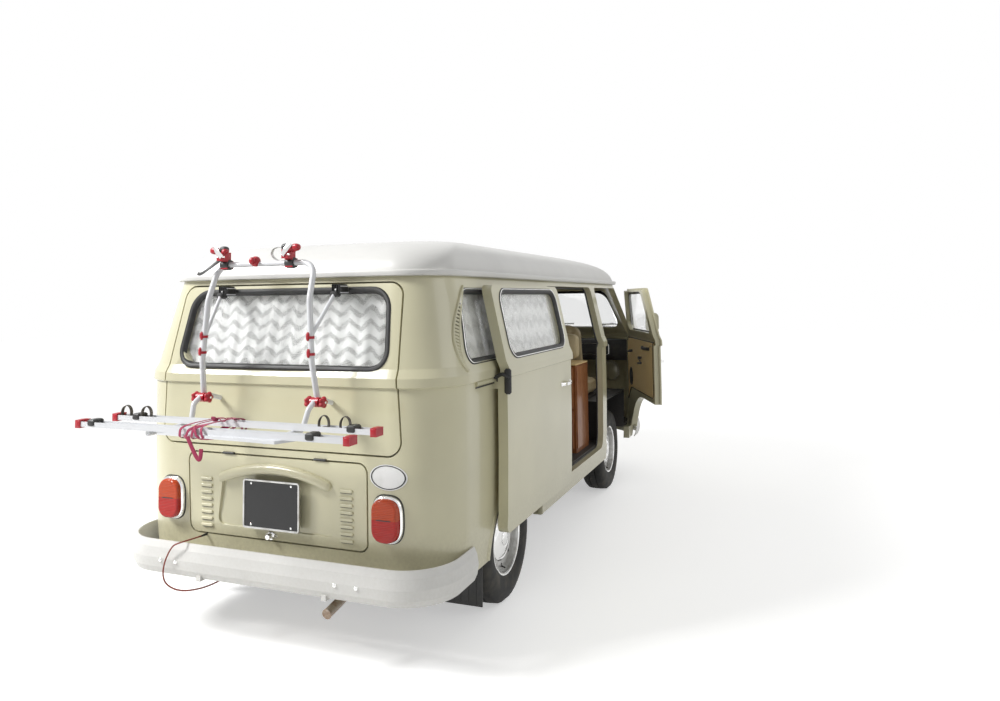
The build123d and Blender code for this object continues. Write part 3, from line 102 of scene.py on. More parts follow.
@dataclass
class Form:
    """Points and faces of a shape, before it becomes a mesh.

    Attributes:
        points: One row for each point.
        faces: Arrays of faces, each array with its own number of corners.
        uv: One row for each point, or None.
    """

    points: Array
    faces: list[Array]
    uv: Array | None = None

    def moved(self, by: Point) -> "Form":
        """Give the form shifted by a vector."""
        return Form(self.points + np.array(by), self.faces, self.uv)

    def mirrored(self) -> "Form":
        """Give the form reflected across the van's middle plane."""
        return Form(self.points * np.array((-1.0, 1.0, 1.0)), [f[:, ::-1] for f in self.faces], self.uv)


Turn = Callable[[Form], Form]
Place = Callable[..., tuple[Array, Array]]


def joined(forms: list[Form]) -> Form:
    """Join forms into one, with their UV where all have one."""
    starts = np.cumsum([0] + [len(form.points) for form in forms])
    faces = [face + start for form, start in zip(forms, starts) for face in form.faces]
    uv = np.vstack([form.uv for form in forms]) if all(form.uv is not None for form in forms) else None
    return Form(np.vstack([form.points for form in forms]), faces, uv)


def grid_form(points: Array, closed_u: bool = False, closed_v: bool = False, capped: bool = False) -> Form:
    """Make quads over a grid of points: each joins point (i, j) to (i+1, j), (i+1, j+1) and (i, j+1).

    Args:
        points: An array of shape (rows, columns, 3).
        closed_u: Whether the last row joins the first.
        closed_v: Whether the last column joins the first.
        capped: Whether the first and last rows are closed with one face each.

    Returns:
        The form, with row and column shares as its UV.
    """
    rows, columns = points.shape[:2]
    index = np.arange(rows * columns).reshape(rows, columns)
    index = np.vstack((index, index[:1])) if closed_u else index
    index = np.hstack((index, index[:, :1])) if closed_v else index
    faces = [np.stack((index[:-1, :-1], index[1:, :-1], index[1:, 1:], index[:-1, 1:]), -1).reshape(-1, 4)]
    if capped:
        ring = np.arange(columns)
        faces += [ring[None, :], (ring + (rows - 1) * columns)[None, ::-1]]
    shares = np.meshgrid(np.linspace(0, 1, rows), np.linspace(0, 1, columns), indexing="ij")
    return Form(points.reshape(-1, 3), faces, np.stack(shares, -1).reshape(-1, 2))


def unit(vectors: Array) -> Array:
    """Give each row its own direction with length one."""
    return vectors / np.linalg.norm(vectors, axis=1, keepdims=True)


def swept(path: Array, profile: Pairs, normals: Array | Point, closed: bool = False) -> Form:
    """Carry a closed profile along a path.

    At each path point the profile's first axis runs along tangent x normal and its second along the normal.

    Args:
        path: Points of shape (n, 3).
        profile: Outline points.
        normals: One normal for each path point, or a single one.
        closed: Whether the path is a loop.

    Returns:
        The swept form, capped at its ends when it is open.
    """
    profile = np.asarray(profile)
    tangent = unit(np.roll(path, -1, 0) - np.roll(path, 1, 0) if closed else np.gradient(path, axis=0))
    normal = np.broadcast_to(np.asarray(normals, float), path.shape)
    normal = unit(normal - (normal * tangent).sum(1, keepdims=True) * tangent)
    side = np.cross(tangent, normal)
    points = path[:, None] + side[:, None] * profile[None, :, :1] + normal[:, None] * profile[None, :, 1:]
    return grid_form(points, closed_u=closed, closed_v=True, capped=not closed)


def laid(place: Place, line: Array, profile: Pairs, out: float = 0.0, closed: bool = False) -> Form:
    """Carry a profile along a line on the skin, at a distance off it."""
    points, normals = place(line, out)
    return swept(points, profile, normals, closed)


def level(low: float, high: float, steps: int, height: float) -> Array:
    """Equal steps of a straight line at one height, as pairs."""
    return np.column_stack((np.linspace(low, high, steps), np.full(steps, height)))


def spoke(root: Array, direction: Array, low: float, high: float, steps: int = 4) -> Array:
    """Equal steps along a direction from a root."""
    return root + direction * np.linspace(low, high, steps)[:, None]


def round_steps(steps: int) -> tuple[Array, Array]:
    """Cosine and sine of equal steps round a circle."""
    angle = np.arange(steps) * TURN / steps
    return np.cos(angle), np.sin(angle)


def bent(value: Array, power: float) -> Array:
    """Raise a value to a power and keep its sign."""
    return np.sign(value) * np.abs(value) ** power


def circle(radius: float, steps: int = 12) -> Array:
    """Points of a circle in its own plane."""
    return radius * np.stack(round_steps(steps), -1)


def oval(half_a: float, half_b: float, power: float = 4.0, steps: int = 16) -> Array:
    """Points of a rounded rectangle, |a|^p + |b|^p = 1 scaled to its half sizes."""
    c, s = round_steps(steps)
    return np.stack((half_a * bent(c, 2 / power), half_b * bent(s, 2 / power)), -1)


def rectangle(low_a: float, low_b: float, high_a: float, high_b: float) -> Array:
    """Corners of a rectangle, round from its lowest."""
    return np.array(((low_a, low_b), (high_a, low_b), (high_a, high_b), (low_a, high_b)))


def rounded_loop(corners: Pairs, radius: float, steps: int = 7, run_steps: int = 6) -> Array:
    """Round a polygon's corners with arcs, each a quadratic blend, and divide its runs.

    Args:
        corners: Corner points.
        radius: How far from each corner its arc begins.
        steps: Points on each arc.
        run_steps: Points on each straight run.

    Returns:
        Points of the closed loop, shape (m, 2).
    """
    corners = np.asarray(corners, float)
    start = corners + radius * unit(np.roll(corners, 1, 0) - corners)
    end = corners + radius * unit(np.roll(corners, -1, 0) - corners)
    t = np.linspace(0, 1, steps)[None, :, None]
    pull = 2 * 0.78 * t * (1 - t)
    arcs = (1 - t) ** 2 * start[:, None] + pull * corners[:, None] + t**2 * end[:, None]
    arcs = arcs / ((1 - t) ** 2 + pull + t**2)
    s = np.linspace(0, 1, run_steps + 2)[1:-1][None, :, None]
    runs = (1 - s) * end[:, None] + s * np.roll(start, -1, 0)[:, None]
    return np.concatenate((arcs, runs), 1).reshape(-1, 2)


def turned(profile: Pairs, centre: Array | Point, axis: int, steps: int = 48, closed: bool = False) -> Form:
    """Turn a profile about an axis: a pair (a, r) goes to a along the axis and r cos, r sin across it.

    Args:
        profile: Pairs of distance along the axis and radius.
        centre: The point that the axis passes through.
        axis: 0, 1 or 2 for x, y or z.
        steps: Steps round the axis.
        closed: Whether the profile is a closed ring.

    Returns:
        The turned form.
    """
    profile = np.asarray(profile)
    c, s = round_steps(steps)
    parts = [c[:, None] * profile[None, :, 1], s[:, None] * profile[None, :, 1]]
    parts.insert(axis, np.broadcast_to(profile[None, :, 0], (steps, len(profile))))
    return grid_form(np.stack(parts, -1) + np.asarray(centre), closed_u=True, closed_v=closed)


def pillow(centre: Array | Point, half: Array | Point, power: float = 5.0, crown: float = 0.12, rows: int = 28) -> Form:
    """A crowned pad with rounded edges.

    A sphere's angles give each coordinate as sign(c)|c|^(2/p) of its sine and cosine, and the top and bottom swell by
    the crown times a cosine of the distance from the middle.

    Args:
        centre: The pad's middle.
        half: Half its size on each axis.
        power: How square its edges are.
        crown: The swelling, as a share of the half thickness.
        rows: Rows from pole to pole.

    Returns:
        A closed form.
    """
    a = np.linspace(-math.pi / 2, math.pi / 2, rows)[1:-1, None]
    c, s = (bent(value, 2 / power)[None] for value in round_steps(2 * rows))
    x, y = bent(np.cos(a), 2 / power) * c, bent(np.cos(a), 2 / power) * s
    z = bent(np.sin(a), 2 / power) * (1 - crown + crown * np.cos(x * math.pi / 2) * np.cos(y * math.pi / 2))
    return grid_form(np.stack((x, y, z), -1) * np.asarray(half) + np.asarray(centre), closed_v=True, capped=True)


def block(low: Point, high: Point, steps: int = 4, radius: float = 0.004) -> Form:
    """A bar between two corners whose outline in its first two axes is rounded, closed by flat ends in the third."""
    low, high = np.asarray(low, float), np.asarray(high, float)
    middle, half = (low + high) / 2, (high - low) / 2
    radius = min(radius, half[0] * 0.98, half[1] * 0.98)
    angle = np.arange(4)[:, None] * (math.pi / 2) + np.linspace(0, math.pi / 2, steps)[None, :]
    core = np.array(((1, 1), (-1, 1), (-1, -1), (1, -1))) * (half[:2] - radius)
    outline = (core[:, None] + radius * np.stack((np.cos(angle), np.sin(angle)), -1)).reshape(-1, 2)
    rings = [np.column_stack((outline * (1 - inset / half[:2] * 0.9), np.full(len(outline), at)))
             for inset, at in ((radius, -half[2]), (0, -half[2] + radius), (0, half[2] - radius), (radius, half[2]))]
    return grid_form(np.stack(rings) + middle, closed_v=True, capped=True)


# Finishes


class Slot(Enum):
    """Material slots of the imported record."""

    CREAM = "cream_paint"
    WHITE = "white_paint"
    BLACK = "black_steel"
    METAL = "bare_metal"
    GLASS = "glass"
    CLEAR_LENS = "lamp_clear"
    RED_LENS = "lamp_red"
    TYRE = "tyre"
    ALLOY = "alloy"
    PLASTIC = "black_plastic"
    RED = "red_plastic"
    RUBBER = "rubber"
    WOOD = "wood"
    VINYL = "vinyl"
    LACE = "lace"
    DASH = "dash"
    ENGINE = "engine_metal"
    SHEATH = "lead_sheath"


class Nodes:
    """A short way to write the nodes of a material or a world."""

    def __init__(self, owner: str | bpy.types.World, **values: object) -> None:
        """Start a material, or take a world.

        Args:
            owner: The new material's name, or the world.
            values: Inputs of its shader, with underscores for spaces.
        """
        self.owner = bpy.data.materials.new(owner) if isinstance(owner, str) else owner
        self.owner.use_nodes = True
        self.tree = self.owner.node_tree
        self.shader = self.tree.nodes.get("Principled BSDF") or self.tree.nodes["Background"]
        self.place = self.add("ShaderNodeTexCoord").outputs["Object"]
        self.set(**values)

    def feed(self, value: object, target: Socket) -> None:
        """Link an output to an input, or write a value into it."""
        if isinstance(value, Socket):
            self.tree.links.new(value, target)
        else:
            target.default_value = value

    def add(self, kind: str, **values: object) -> bpy.types.Node:
        """Add a node and set its properties or inputs.

        Args:
            kind: The node's type.
            values: Properties by name, or inputs by name with underscores for spaces.

        Returns:
            The node.
        """
        node = self.tree.nodes.new(kind)
        for key, value in values.items():
            label = key.replace("_", " ")
            if label in node.inputs:
                self.feed(value, node.inputs[label])
            else:
                setattr(node, key, value)
        return node

    def set(self, **values: object) -> None:
        """Feed the shader's own inputs by name."""
        for key, value in values.items():
            self.feed(value, self.shader.inputs[key.replace("_", " ")])

    def noise(self, scale: float, detail: float = 3.0, stretch: Point | None = None) -> Socket:
        """Noise on Object coordinates, stretched where asked."""
        place = self.place
        if stretch:
            place = self.add("ShaderNodeMapping", Scale=stretch, Vector=place).outputs["Vector"]
        return self.add("ShaderNodeTexNoise", Scale=scale, Detail=detail, Vector=place).outputs["Fac"]

    def wave(self, scale: float, direction: str, **values: float) -> Socket:
        """Bands on Object coordinates."""
        node = self.add("ShaderNodeTexWave", Scale=scale, bands_direction=direction, Vector=self.place, **values)
        return node.outputs["Fac"]

    def ramp(self, source: Socket, low: float, high: float, start: float = 0.0, end: float = 1.0) -> Socket:
        """Map a range of values to another, held at its ends."""
        return self.add("ShaderNodeMapRange", Value=source, From_Min=low, From_Max=high, To_Min=start,
                        To_Max=end).outputs["Result"]

    def mix(self, factor: Socket, first: Socket | Point, second: Socket | Point) -> Socket:
        """Mix two colours, each a colour or an output."""
        node = self.add("ShaderNodeMix", data_type="RGBA")
        for value, target in ((factor, 0), (first, 6), (second, 7)):
            self.feed(value if isinstance(value, Socket) else (*value, 1.0), node.inputs[target])
        return node.outputs[2]

    def math(self, operation: str, *values: Socket | float) -> Socket:
        """Combine values by a math operation."""
        node = self.add("ShaderNodeMath", operation=operation)
        for value, target in zip(values, node.inputs):
            self.feed(value, target)
        return node.outputs[0]

    def bump(self, height: Socket, strength: float, distance: float) -> None:
        """Let a height roughen the shader's surface."""
        self.set(Normal=self.add("ShaderNodeBump", Strength=strength, Distance=distance, Height=height).outputs[0])

    def split(self, vector: Socket) -> tuple[Socket, ...]:
        """Give a vector's three parts."""
        return tuple(self.add("ShaderNodeSeparateXYZ", Vector=vector).outputs)

    def surface(self) -> Socket:
        """The piece's own UV."""
        return self.add("ShaderNodeUVMap", uv_map="surface").outputs["UV"]

    def beheld(self) -> Socket:
        """One for rays from the camera, from mirrors and through glass, none for rays that only give light."""
        rays = self.add("ShaderNodeLightPath").outputs
        seen = self.math("MAXIMUM", rays["Is Camera Ray"], rays["Is Glossy Ray"])
        return self.math("MAXIMUM", seen, rays["Is Transmission Ray"])


def darker(colour: Point, share: float) -> Point:
    """Scale a colour."""
    return tuple(c * share for c in colour)


@dataclass(frozen=True)
class Paint:
    """Paint with a faint ripple, and road dust that takes up to dust_share of the colour and has gone at dust_top."""

    name: str
    colour: Point
    dust: Point = (0.20, 0.16, 0.11)
    roughness: float = 0.28
    coat: float = 0.7
    dust_top: float = 0.62
    dust_share: float = 0.45

    def build(self) -> bpy.types.Material:
        """Make the material."""
        n = Nodes(self.name, Coat_Weight=self.coat, Coat_Roughness=0.06, IOR=1.5)
        clean = n.mix(n.ramp(n.noise(2.2, 4.0), 0.35, 0.7), self.colour, darker(self.colour, 0.90))
        low = n.ramp(n.split(n.place)[2], self.dust_top, self.dust_top * 0.45, 0.0, self.dust_share)
        dirt = n.math("MULTIPLY", low, n.ramp(n.noise(75.0, 7.0), 0.30, 0.80))
        n.set(Base_Color=n.mix(dirt, clean, self.dust), Roughness=n.ramp(dirt, 0.0, 1.0, self.roughness, 0.75))
        n.bump(n.noise(240.0, 1.0), 0.04, 0.002)
        return n.owner


@dataclass(frozen=True)
class Metal:
    """Bare or plated metal with dull patches, so many of them per metre."""

    name: str
    colour: Point
    stain: Point
    roughness: float
    worn: float
    patches: float = 14.0

    def build(self) -> bpy.types.Material:
        """Make the material."""
        n = Nodes(self.name, Metallic=1.0)
        patch = n.ramp(n.noise(self.patches, 6.0), 0.45, 0.75)
        n.set(Base_Color=n.mix(patch, self.colour, self.stain),
              Roughness=n.ramp(patch, 0.0, 1.0, self.roughness, self.worn))
        n.bump(n.noise(420.0, 2.0, (1.0, 1.0, 6.0)), 0.05, 0.001)
        return n.owner


@dataclass(frozen=True)
class Moulded:
    """Plastic or rubber with dusty patches and a fine grain, so deep and with so many grains per metre."""

    name: str
    colour: Point
    dust: Point
    roughness: float = 0.5
    grain: float = 0.15
    fineness: float = 700.0

    def build(self) -> bpy.types.Material:
        """Make the material."""
        n = Nodes(self.name)
        patch = n.ramp(n.noise(18.0, 5.0), 0.5, 0.8)
        n.set(Base_Color=n.mix(patch, self.colour, self.dust),
              Roughness=n.ramp(patch, 0.0, 1.0, self.roughness, min(1.0, self.roughness + 0.2)))
        n.bump(n.noise(self.fineness, 2.0), self.grain, 0.001)
        return n.owner


@dataclass(frozen=True)
class Pane:
    """Glass, or a lens with ribs per metre. An alpha below one lets lamp light in past the pane."""

    name: str
    colour: Point
    roughness: float = 0.0
    ribs: float = 0.0
    clear: float = 1.0
    alpha: float = 1.0
    coat: float = 0.3

    def build(self) -> bpy.types.Material:
        """Make the material."""
        n = Nodes(self.name, Transmission_Weight=self.clear, Roughness=self.roughness, IOR=1.45,
                  Coat_Weight=self.coat, Alpha=self.alpha)
        n.set(Base_Color=n.mix(n.ramp(n.noise(5.0, 4.0), 0.3, 0.8), self.colour, darker(self.colour, 0.94)))
        if self.ribs:
            n.bump(n.wave(self.ribs, "X"), 0.5, 0.002)
        return n.owner


@dataclass(frozen=True)
class Woven:
    """Cloth with threads per metre, or grained vinyl, and a second colour for its darker threads."""

    name: str
    colour: Point
    second: Point
    threads: float = 260.0
    sheen: float = 0.3
    roughness: float = 0.85

    def build(self) -> bpy.types.Material:
        """Make the material."""
        n = Nodes(self.name, Sheen_Weight=self.sheen, Roughness=self.roughness)
        weave = n.math("MULTIPLY", *(n.wave(self.threads / 6.0, way, Distortion=0.6) for way in ("X", "Z")))
        patch = n.math("MULTIPLY", weave, n.ramp(n.noise(9.0, 4.0), 0.2, 0.9, 0.4, 1.0))
        n.set(Base_Color=n.mix(patch, self.second, self.colour))
        n.bump(weave, 0.35, 0.001)
        return n.owner


@dataclass(frozen=True)
class Lacework:
    """White lace: zigzag rows of close cloth with open net between them, on the piece's own UV in metres.

    Attributes:
        name: The material's name.
        cell: Width of one zigzag.
        row: Height from row to row.
        net: How much of the open net is thread.
    """

    name: str
    cell: float = 0.115
    row: float = 0.062
    net: float = 0.42

    def build(self) -> bpy.types.Material:
        """Make the material."""
        n = Nodes(self.name, Roughness=0.9, Sheen_Weight=0.25)
        uneven = n.add("ShaderNodeTexNoise", Scale=13.0, Detail=3.0, Vector=n.surface())
        waver = n.add("ShaderNodeVectorMath", operation="MULTIPLY_ADD")
        for value, target in zip((uneven.outputs["Color"], (0.052, 0.034, 0.0), n.surface()), waver.inputs):
            n.feed(value, target)
        x, y, _ = n.split(waver.outputs[0])
        rise = n.math("MULTIPLY_ADD", n.math("PINGPONG", x, self.cell / 2), 0.75, y)
        rows = n.ramp(n.math("PINGPONG", rise, self.row / 2), 0.0, self.row / 2)
        yarn_width = 0.0032
        threads = (n.ramp(n.math("PINGPONG", part, yarn_width), 0.0, yarn_width) for part in (x, y))
        net = n.ramp(n.math("MINIMUM", *threads), 0.22, 0.34, 1.0, self.net)
        cover = n.math("MAXIMUM", net, n.ramp(n.ramp(rows, 0.30, 0.38), 0.0, 1.0, 0.0, 0.96))
        white = (0.92, 0.92, 0.91)
        yarn = n.mix(n.ramp(n.noise(30.0, 3.0), 0.3, 0.7), white, darker(white, 0.90))
        n.set(Alpha=cover, Base_Color=n.mix(n.ramp(rows, 0.30, 0.55), darker(white, 0.80), yarn))
        n.bump(n.math("MULTIPLY", cover, rows), 0.6, 0.002)
        return n.owner


@dataclass(frozen=True)
class Veneer:
    """Varnished wood with light and dark grain along z."""

    name: str
    colour: Point
    dark: Point

    def build(self) -> bpy.types.Material:
        """Make the material."""
        n = Nodes(self.name, Coat_Weight=0.4, Coat_Roughness=0.15)
        grain = n.ramp(n.noise(22.0, 8.0, (6.0, 6.0, 0.5)), 0.35, 0.68)
        n.set(Base_Color=n.mix(grain, self.dark, self.colour), Roughness=n.ramp(grain, 0.0, 1.0, 0.5, 0.35))
        n.bump(grain, 0.08, 0.001)
        return n.owner


@dataclass(frozen=True)
class TailLens:
    """Two-colour lens: amber above the dividing bar, red below it, from the height."""

    name: str
    divide: float = 0.6555

    def build(self) -> bpy.types.Material:
        """Make the material."""
        n = Nodes(self.name, Roughness=0.16, Coat_Weight=0.15, Coat_Roughness=0.05, Specular_IOR_Level=0.3,
                  Transmission_Weight=0.1)
        ribs = n.wave(44.0, "Z")
        shade = n.ramp(ribs, 0.0, 1.0, 0.0, 0.35)
        red = n.mix(shade, (0.50, 0.010, 0.004), (0.26, 0.004, 0.002))
        amber = n.mix(shade, (0.56, 0.060, 0.006), (0.30, 0.025, 0.003))
        n.set(Base_Color=n.mix(n.ramp(n.split(n.place)[2], self.divide, self.divide + 0.001), red, amber))
        n.bump(ribs, 0.5, 0.002)
        return n.owner


@dataclass(frozen=True)
class Tread:
    """Tyre rubber whose tread is cut across by fine slits, from a wave on its own surface."""

    name: str
    slits: int = 76

    def build(self) -> bpy.types.Material:
        """Make the material."""
        n = Nodes(self.name, Roughness=0.8)
        round_share, section_share, _ = n.split(n.surface())
        across = n.ramp(section_share, 0.0, 1.0, -1.0, 1.0)
        turn = n.math("ADD", n.math("MULTIPLY", across, across), round_share)
        cuts = n.ramp(n.math("SINE", n.math("MULTIPLY", turn, self.slits * TURN)), 0.35, 0.75, 1.0, 0.0)
        tread = n.ramp(n.math("ABSOLUTE", across), 0.52, 0.60, 1.0, 0.0)
        dust = n.ramp(n.noise(14.0, 5.0), 0.45, 0.8)
        n.set(Base_Color=n.mix(dust, (0.022, 0.022, 0.021), (0.075, 0.068, 0.055)))
        n.bump(n.math("MULTIPLY", cuts, tread), 1.0, 0.006)
        return n.owner


class Finish(Enum):
    """Every finish: its recipe, and the record's slot listed with it."""

    CREAM = Paint("cream_paint", (0.60, 0.57, 0.39), coat=0.35), Slot.CREAM
    WHITE = Paint("white_paint", (0.69, 0.685, 0.66), (0.42, 0.38, 0.31), 0.42, 0.15, 0.60, 0.25), Slot.WHITE
    CHASSIS = Paint("chassis_black", (0.018, 0.018, 0.018), (0.12, 0.10, 0.08), 0.55, 0.0, 0.9), Slot.BLACK
    ALLOY = Paint("white_tube", (0.72, 0.73, 0.75), roughness=0.3, coat=0.4, dust_top=0.2), Slot.ALLOY
    CHROME = Metal("bright_trim", (0.86, 0.86, 0.85), (0.6, 0.6, 0.6), 0.07, 0.2), Slot.METAL
    SILVER = Metal("silver_rim", (0.55, 0.55, 0.54), (0.36, 0.35, 0.33), 0.35, 0.55, 22.0), Slot.METAL
    PIPE = Metal("exhaust_metal", (0.36, 0.31, 0.26), (0.20, 0.12, 0.07), 0.45, 0.8, 30.0), Slot.ENGINE
    IRON = Metal("engine_metal", (0.20, 0.19, 0.18), (0.07, 0.06, 0.05), 0.5, 0.8, 16.0), Slot.ENGINE
    RUBBER = Moulded("seal_rubber", (0.014, 0.014, 0.014), (0.05, 0.05, 0.045), 0.5), Slot.RUBBER
    PLASTIC = Moulded("black_plastic", (0.02, 0.02, 0.02), (0.05, 0.05, 0.05), 0.4), Slot.PLASTIC
    RED = Moulded("red_plastic", (0.42, 0.008, 0.02), (0.33, 0.02, 0.03), 0.28, 0.05), Slot.RED
    DASH = Moulded("dash_grain", (0.025, 0.025, 0.026), (0.06, 0.06, 0.055), 0.6, 0.4, 900.0), Slot.DASH
    PLATE = Moulded("plate_black", (0.006, 0.006, 0.007), (0.012, 0.012, 0.012), 0.35, 0.01), Slot.DASH
    SHEATH = Moulded("lead_sheath", (0.22, 0.035, 0.02), (0.18, 0.05, 0.03), 0.4, 0.1), Slot.SHEATH
    BADGE = Moulded("badge_white", (0.86, 0.86, 0.85), (0.78, 0.78, 0.76), 0.35, 0.02), Slot.WHITE
    GLASS = Pane("window_glass", (0.95, 0.98, 0.965), alpha=0.26, coat=0.0), Slot.GLASS
    CLEAR_LENS = Pane("clear_lens", (0.93, 0.94, 0.93), 0.04, 45.0, 0.95), Slot.CLEAR_LENS
    TAIL_LENS = TailLens("tail_lamp_lens"), Slot.RED_LENS
    TREAD = Tread("tread_rubber"), Slot.TYRE
    SEAT = Woven("seat_vinyl", (0.60, 0.50, 0.30), (0.46, 0.37, 0.21), 900.0, 0.1, 0.55), Slot.VINYL
    BLANKET = Woven("bed_cloth", (0.52, 0.42, 0.26), (0.34, 0.22, 0.12), 220.0), Slot.VINYL
    STRAP = Woven("strap_webbing", (0.55, 0.02, 0.12), (0.30, 0.01, 0.06), 520.0, 0.3, 0.7), Slot.RED
    CARD = Woven("door_card", (0.82, 0.62, 0.30), (0.70, 0.51, 0.22), 700.0, 0.1, 0.7), Slot.VINYL
    WOOD = Veneer("orange_veneer", (0.34, 0.125, 0.032), (0.17, 0.050, 0.013)), Slot.WOOD
    LACE = Lacework("white_lace"), Slot.LACE
    SIDE_LACE = Lacework("side_lace", 0.12, 0.105, 0.80), Slot.LACE


@cache
def material_of(finish: Finish) -> bpy.types.Material:
    """Make a finish's material, once."""
    return finish.value[0].build()


def piece(name: str, form: Form | list[Form], finish: Finish, body: str = "body", angle: float = 40.0,
          flat: bool = False) -> bpy.types.Object:
    """Turn a form into a piece that rides on a body.

    Args:
        name: The piece's name.
        form: Its points and faces, from the rear face's middle, or several forms to join.
        finish: Its finish.
        body: The body that it rides on.
        angle: Edges sharper than this many degrees stay sharp.
        flat: Whether its faces stay flat-shaded.

    Returns:
        The new object, at the origin with its place in its mesh.
    """
    form = joined(form) if isinstance(form, list) else form
    mesh = bpy.data.meshes.new(name)
    mesh.from_pydata((form.points + ORIGIN).tolist(), [], [row for array in form.faces for row in array.tolist()])
    if form.uv is not None:
        layer = mesh.uv_layers.new(name="surface")
        corners = np.empty(len(mesh.loops), dtype=np.int64)
        mesh.loops.foreach_get("vertex_index", corners)
        layer.data.foreach_set("uv", form.uv[corners].astype(np.float32).ravel())
    work = bmesh.new()
    work.from_mesh(mesh)
    bmesh.ops.remove_doubles(work, verts=work.verts, dist=1e-6)
    bmesh.ops.recalc_face_normals(work, faces=work.faces)
    work.to_mesh(mesh)
    work.free()
    made = bpy.data.objects.new(name, mesh)
    bpy.context.scene.collection.objects.link(made)
    mesh.materials.append(material_of(finish))
    if not flat:
        smooth(mesh)
        mesh.set_sharp_from_angle(angle=math.radians(angle))
    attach(made, body)
    return made


def smooth(mesh: bpy.types.Mesh) -> None:
    """Shade every face smooth."""
    mesh.polygons.foreach_set("use_smooth", np.ones(len(mesh.polygons), dtype=bool))


def dress(finish: Finish, *nodes: str) -> None:
    """Give CAD nodes a finish.

    Args:
        finish: The finish.
        nodes: Names of nodes.
    """
    for name in nodes:
        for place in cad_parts[name].material_slots:
            place.material = material_of(finish)


# The body's shape


@dataclass(frozen=True)
class BodyShape:
    """The body's outer skin, as rounded level outlines joined by straight lines from height to height.

    Attributes:
        levels: Heights of the outlines.
        insets: For each height, how far its side, rear and front stand in, and its rear and front corner radii.
    """

    levels: tuple = (0.340, 0.550, 0.850, 1.205, 1.212, 1.250, 1.290, 1.700)
    insets: tuple = (
        (0.033, 0.036, 0.045, 0.240, 0.380),
        (0.019, 0.010, 0.012, 0.262, 0.400),
        (0.0145, 0.000, 0.000, 0.270, 0.400),
        (0.0145, 0.000, 0.034, 0.270, 0.400),
        (0.000, -0.012, 0.020, 0.282, 0.410),
        (0.002, -0.010, 0.045, 0.280, 0.408),
        (0.020, 0.012, 0.095, 0.265, 0.395),
        (0.110, 0.108, 0.450, 0.215, 0.330),
    )

    def at(self, z: Array) -> list[Array]:
        """Side, rear, front, rear radius and front radius at heights, each read between the two nearest outlines."""
        return [np.interp(z, self.levels, column) for column in np.array(self.insets).T]

    def side_x(self, y: Array, z: Array) -> Array:
        """Half width at places along the body: straight along the middle, less a circle's arc near both ends."""
        side, rear, front, rear_r, front_r = self.at(z)
        behind = np.clip(rear + rear_r - y, 0, rear_r)
        ahead = np.clip(y - (VAN_LENGTH - front - front_r), 0, front_r)
        drop = rear_r - np.sqrt(rear_r**2 - behind**2) + front_r - np.sqrt(front_r**2 - ahead**2)
        return HALF_WIDTH - side - drop

    def rear_y(self, x: Array, z: Array) -> Array:
        """How far forward the rear skin stands: flat, then a circle's arc into the side."""
        side, rear, _, radius, _ = self.at(z)
        over = np.clip(np.abs(x) - (HALF_WIDTH - side - radius), 0, radius)
        return rear + radius - np.sqrt(radius**2 - over**2)

    def front_y(self, x: Array, z: Array) -> Array:
        """How far forward the front skin stands: flat, then a circle's arc into the side."""
        side, _, front, _, radius = self.at(z)
        over = np.clip(np.abs(x) - (HALF_WIDTH - side - radius), 0, radius)
        return VAN_LENGTH - front - radius + np.sqrt(radius**2 - over**2)

    def carried(self, skin: Callable[[Array, Array], Array], axis: int, sign: float, loop: Array,
                out: float) -> tuple[Array, Array]:
        """Carry pairs of a distance and a height onto a skin.

        Args:
            skin: The skin's place on its own axis.
            axis: That axis, 0 or 1.
            sign: Whether it faces up or down that axis.
            loop: The pairs.
            out: Distance off the skin.

        Returns:
            Points and the skin's outward directions there.
        """
        run, z = loop[:, 0], loop[:, 1]
        step = 0.004
        slope_run = (skin(run + step, z) - skin(run - step, z)) / (2 * step)
        slope_z = (skin(run, z + step) - skin(run, z - step)) / (2 * step)
        places, slopes = [run, z], [-slope_run, -slope_z]
        places.insert(axis, skin(run, z))
        slopes.insert(axis, np.ones_like(run))
        normal = unit(sign * np.stack(slopes, -1))
        return np.stack(places, -1) + normal * out, normal

    def on_side(self, loop: Array, out: float = 0.0) -> tuple[Array, Array]:
        """Carry (y, z) pairs onto the right side."""
        return self.carried(self.side_x, 0, 1.0, loop, out)

    def on_rear(self, loop: Array, out: float = 0.0) -> tuple[Array, Array]:
        """Carry (x, z) pairs onto the rear."""
        return self.carried(self.rear_y, 1, -1.0, loop, out)

    def on_front(self, loop: Array, out: float = 0.0) -> tuple[Array, Array]:
        """Carry (x, z) pairs onto the front."""
        return self.carried(self.front_y, 1, 1.0, loop, out)


SHAPE = BodyShape()
SLID_BACK = (0.075, -1.100, 0.0)
DOOR_HINGE = np.array((0.8845, 3.880, 0.0))
DOOR_OPEN = math.radians(24.0)


def as_is(form: Form) -> Form:
    """Leave a form where it is."""
    return form


def slid(form: Form) -> Form:
    """Slide a form back with the sliding door."""
    return form.moved(SLID_BACK)


def opened(form: Form) -> Form:
    """Turn a form with the right cab door about its hinge: x' = x cos - y sin, y' = x sin + y cos."""
    c, s = math.cos(DOOR_OPEN), math.sin(DOOR_OPEN)
    matrix = np.array(((c, -s, 0.0), (s, c, 0.0), (0.0, 0.0, 1.0)))
    return Form((form.points - DOOR_HINGE) @ matrix.T + DOOR_HINGE, form.faces, form.uv)


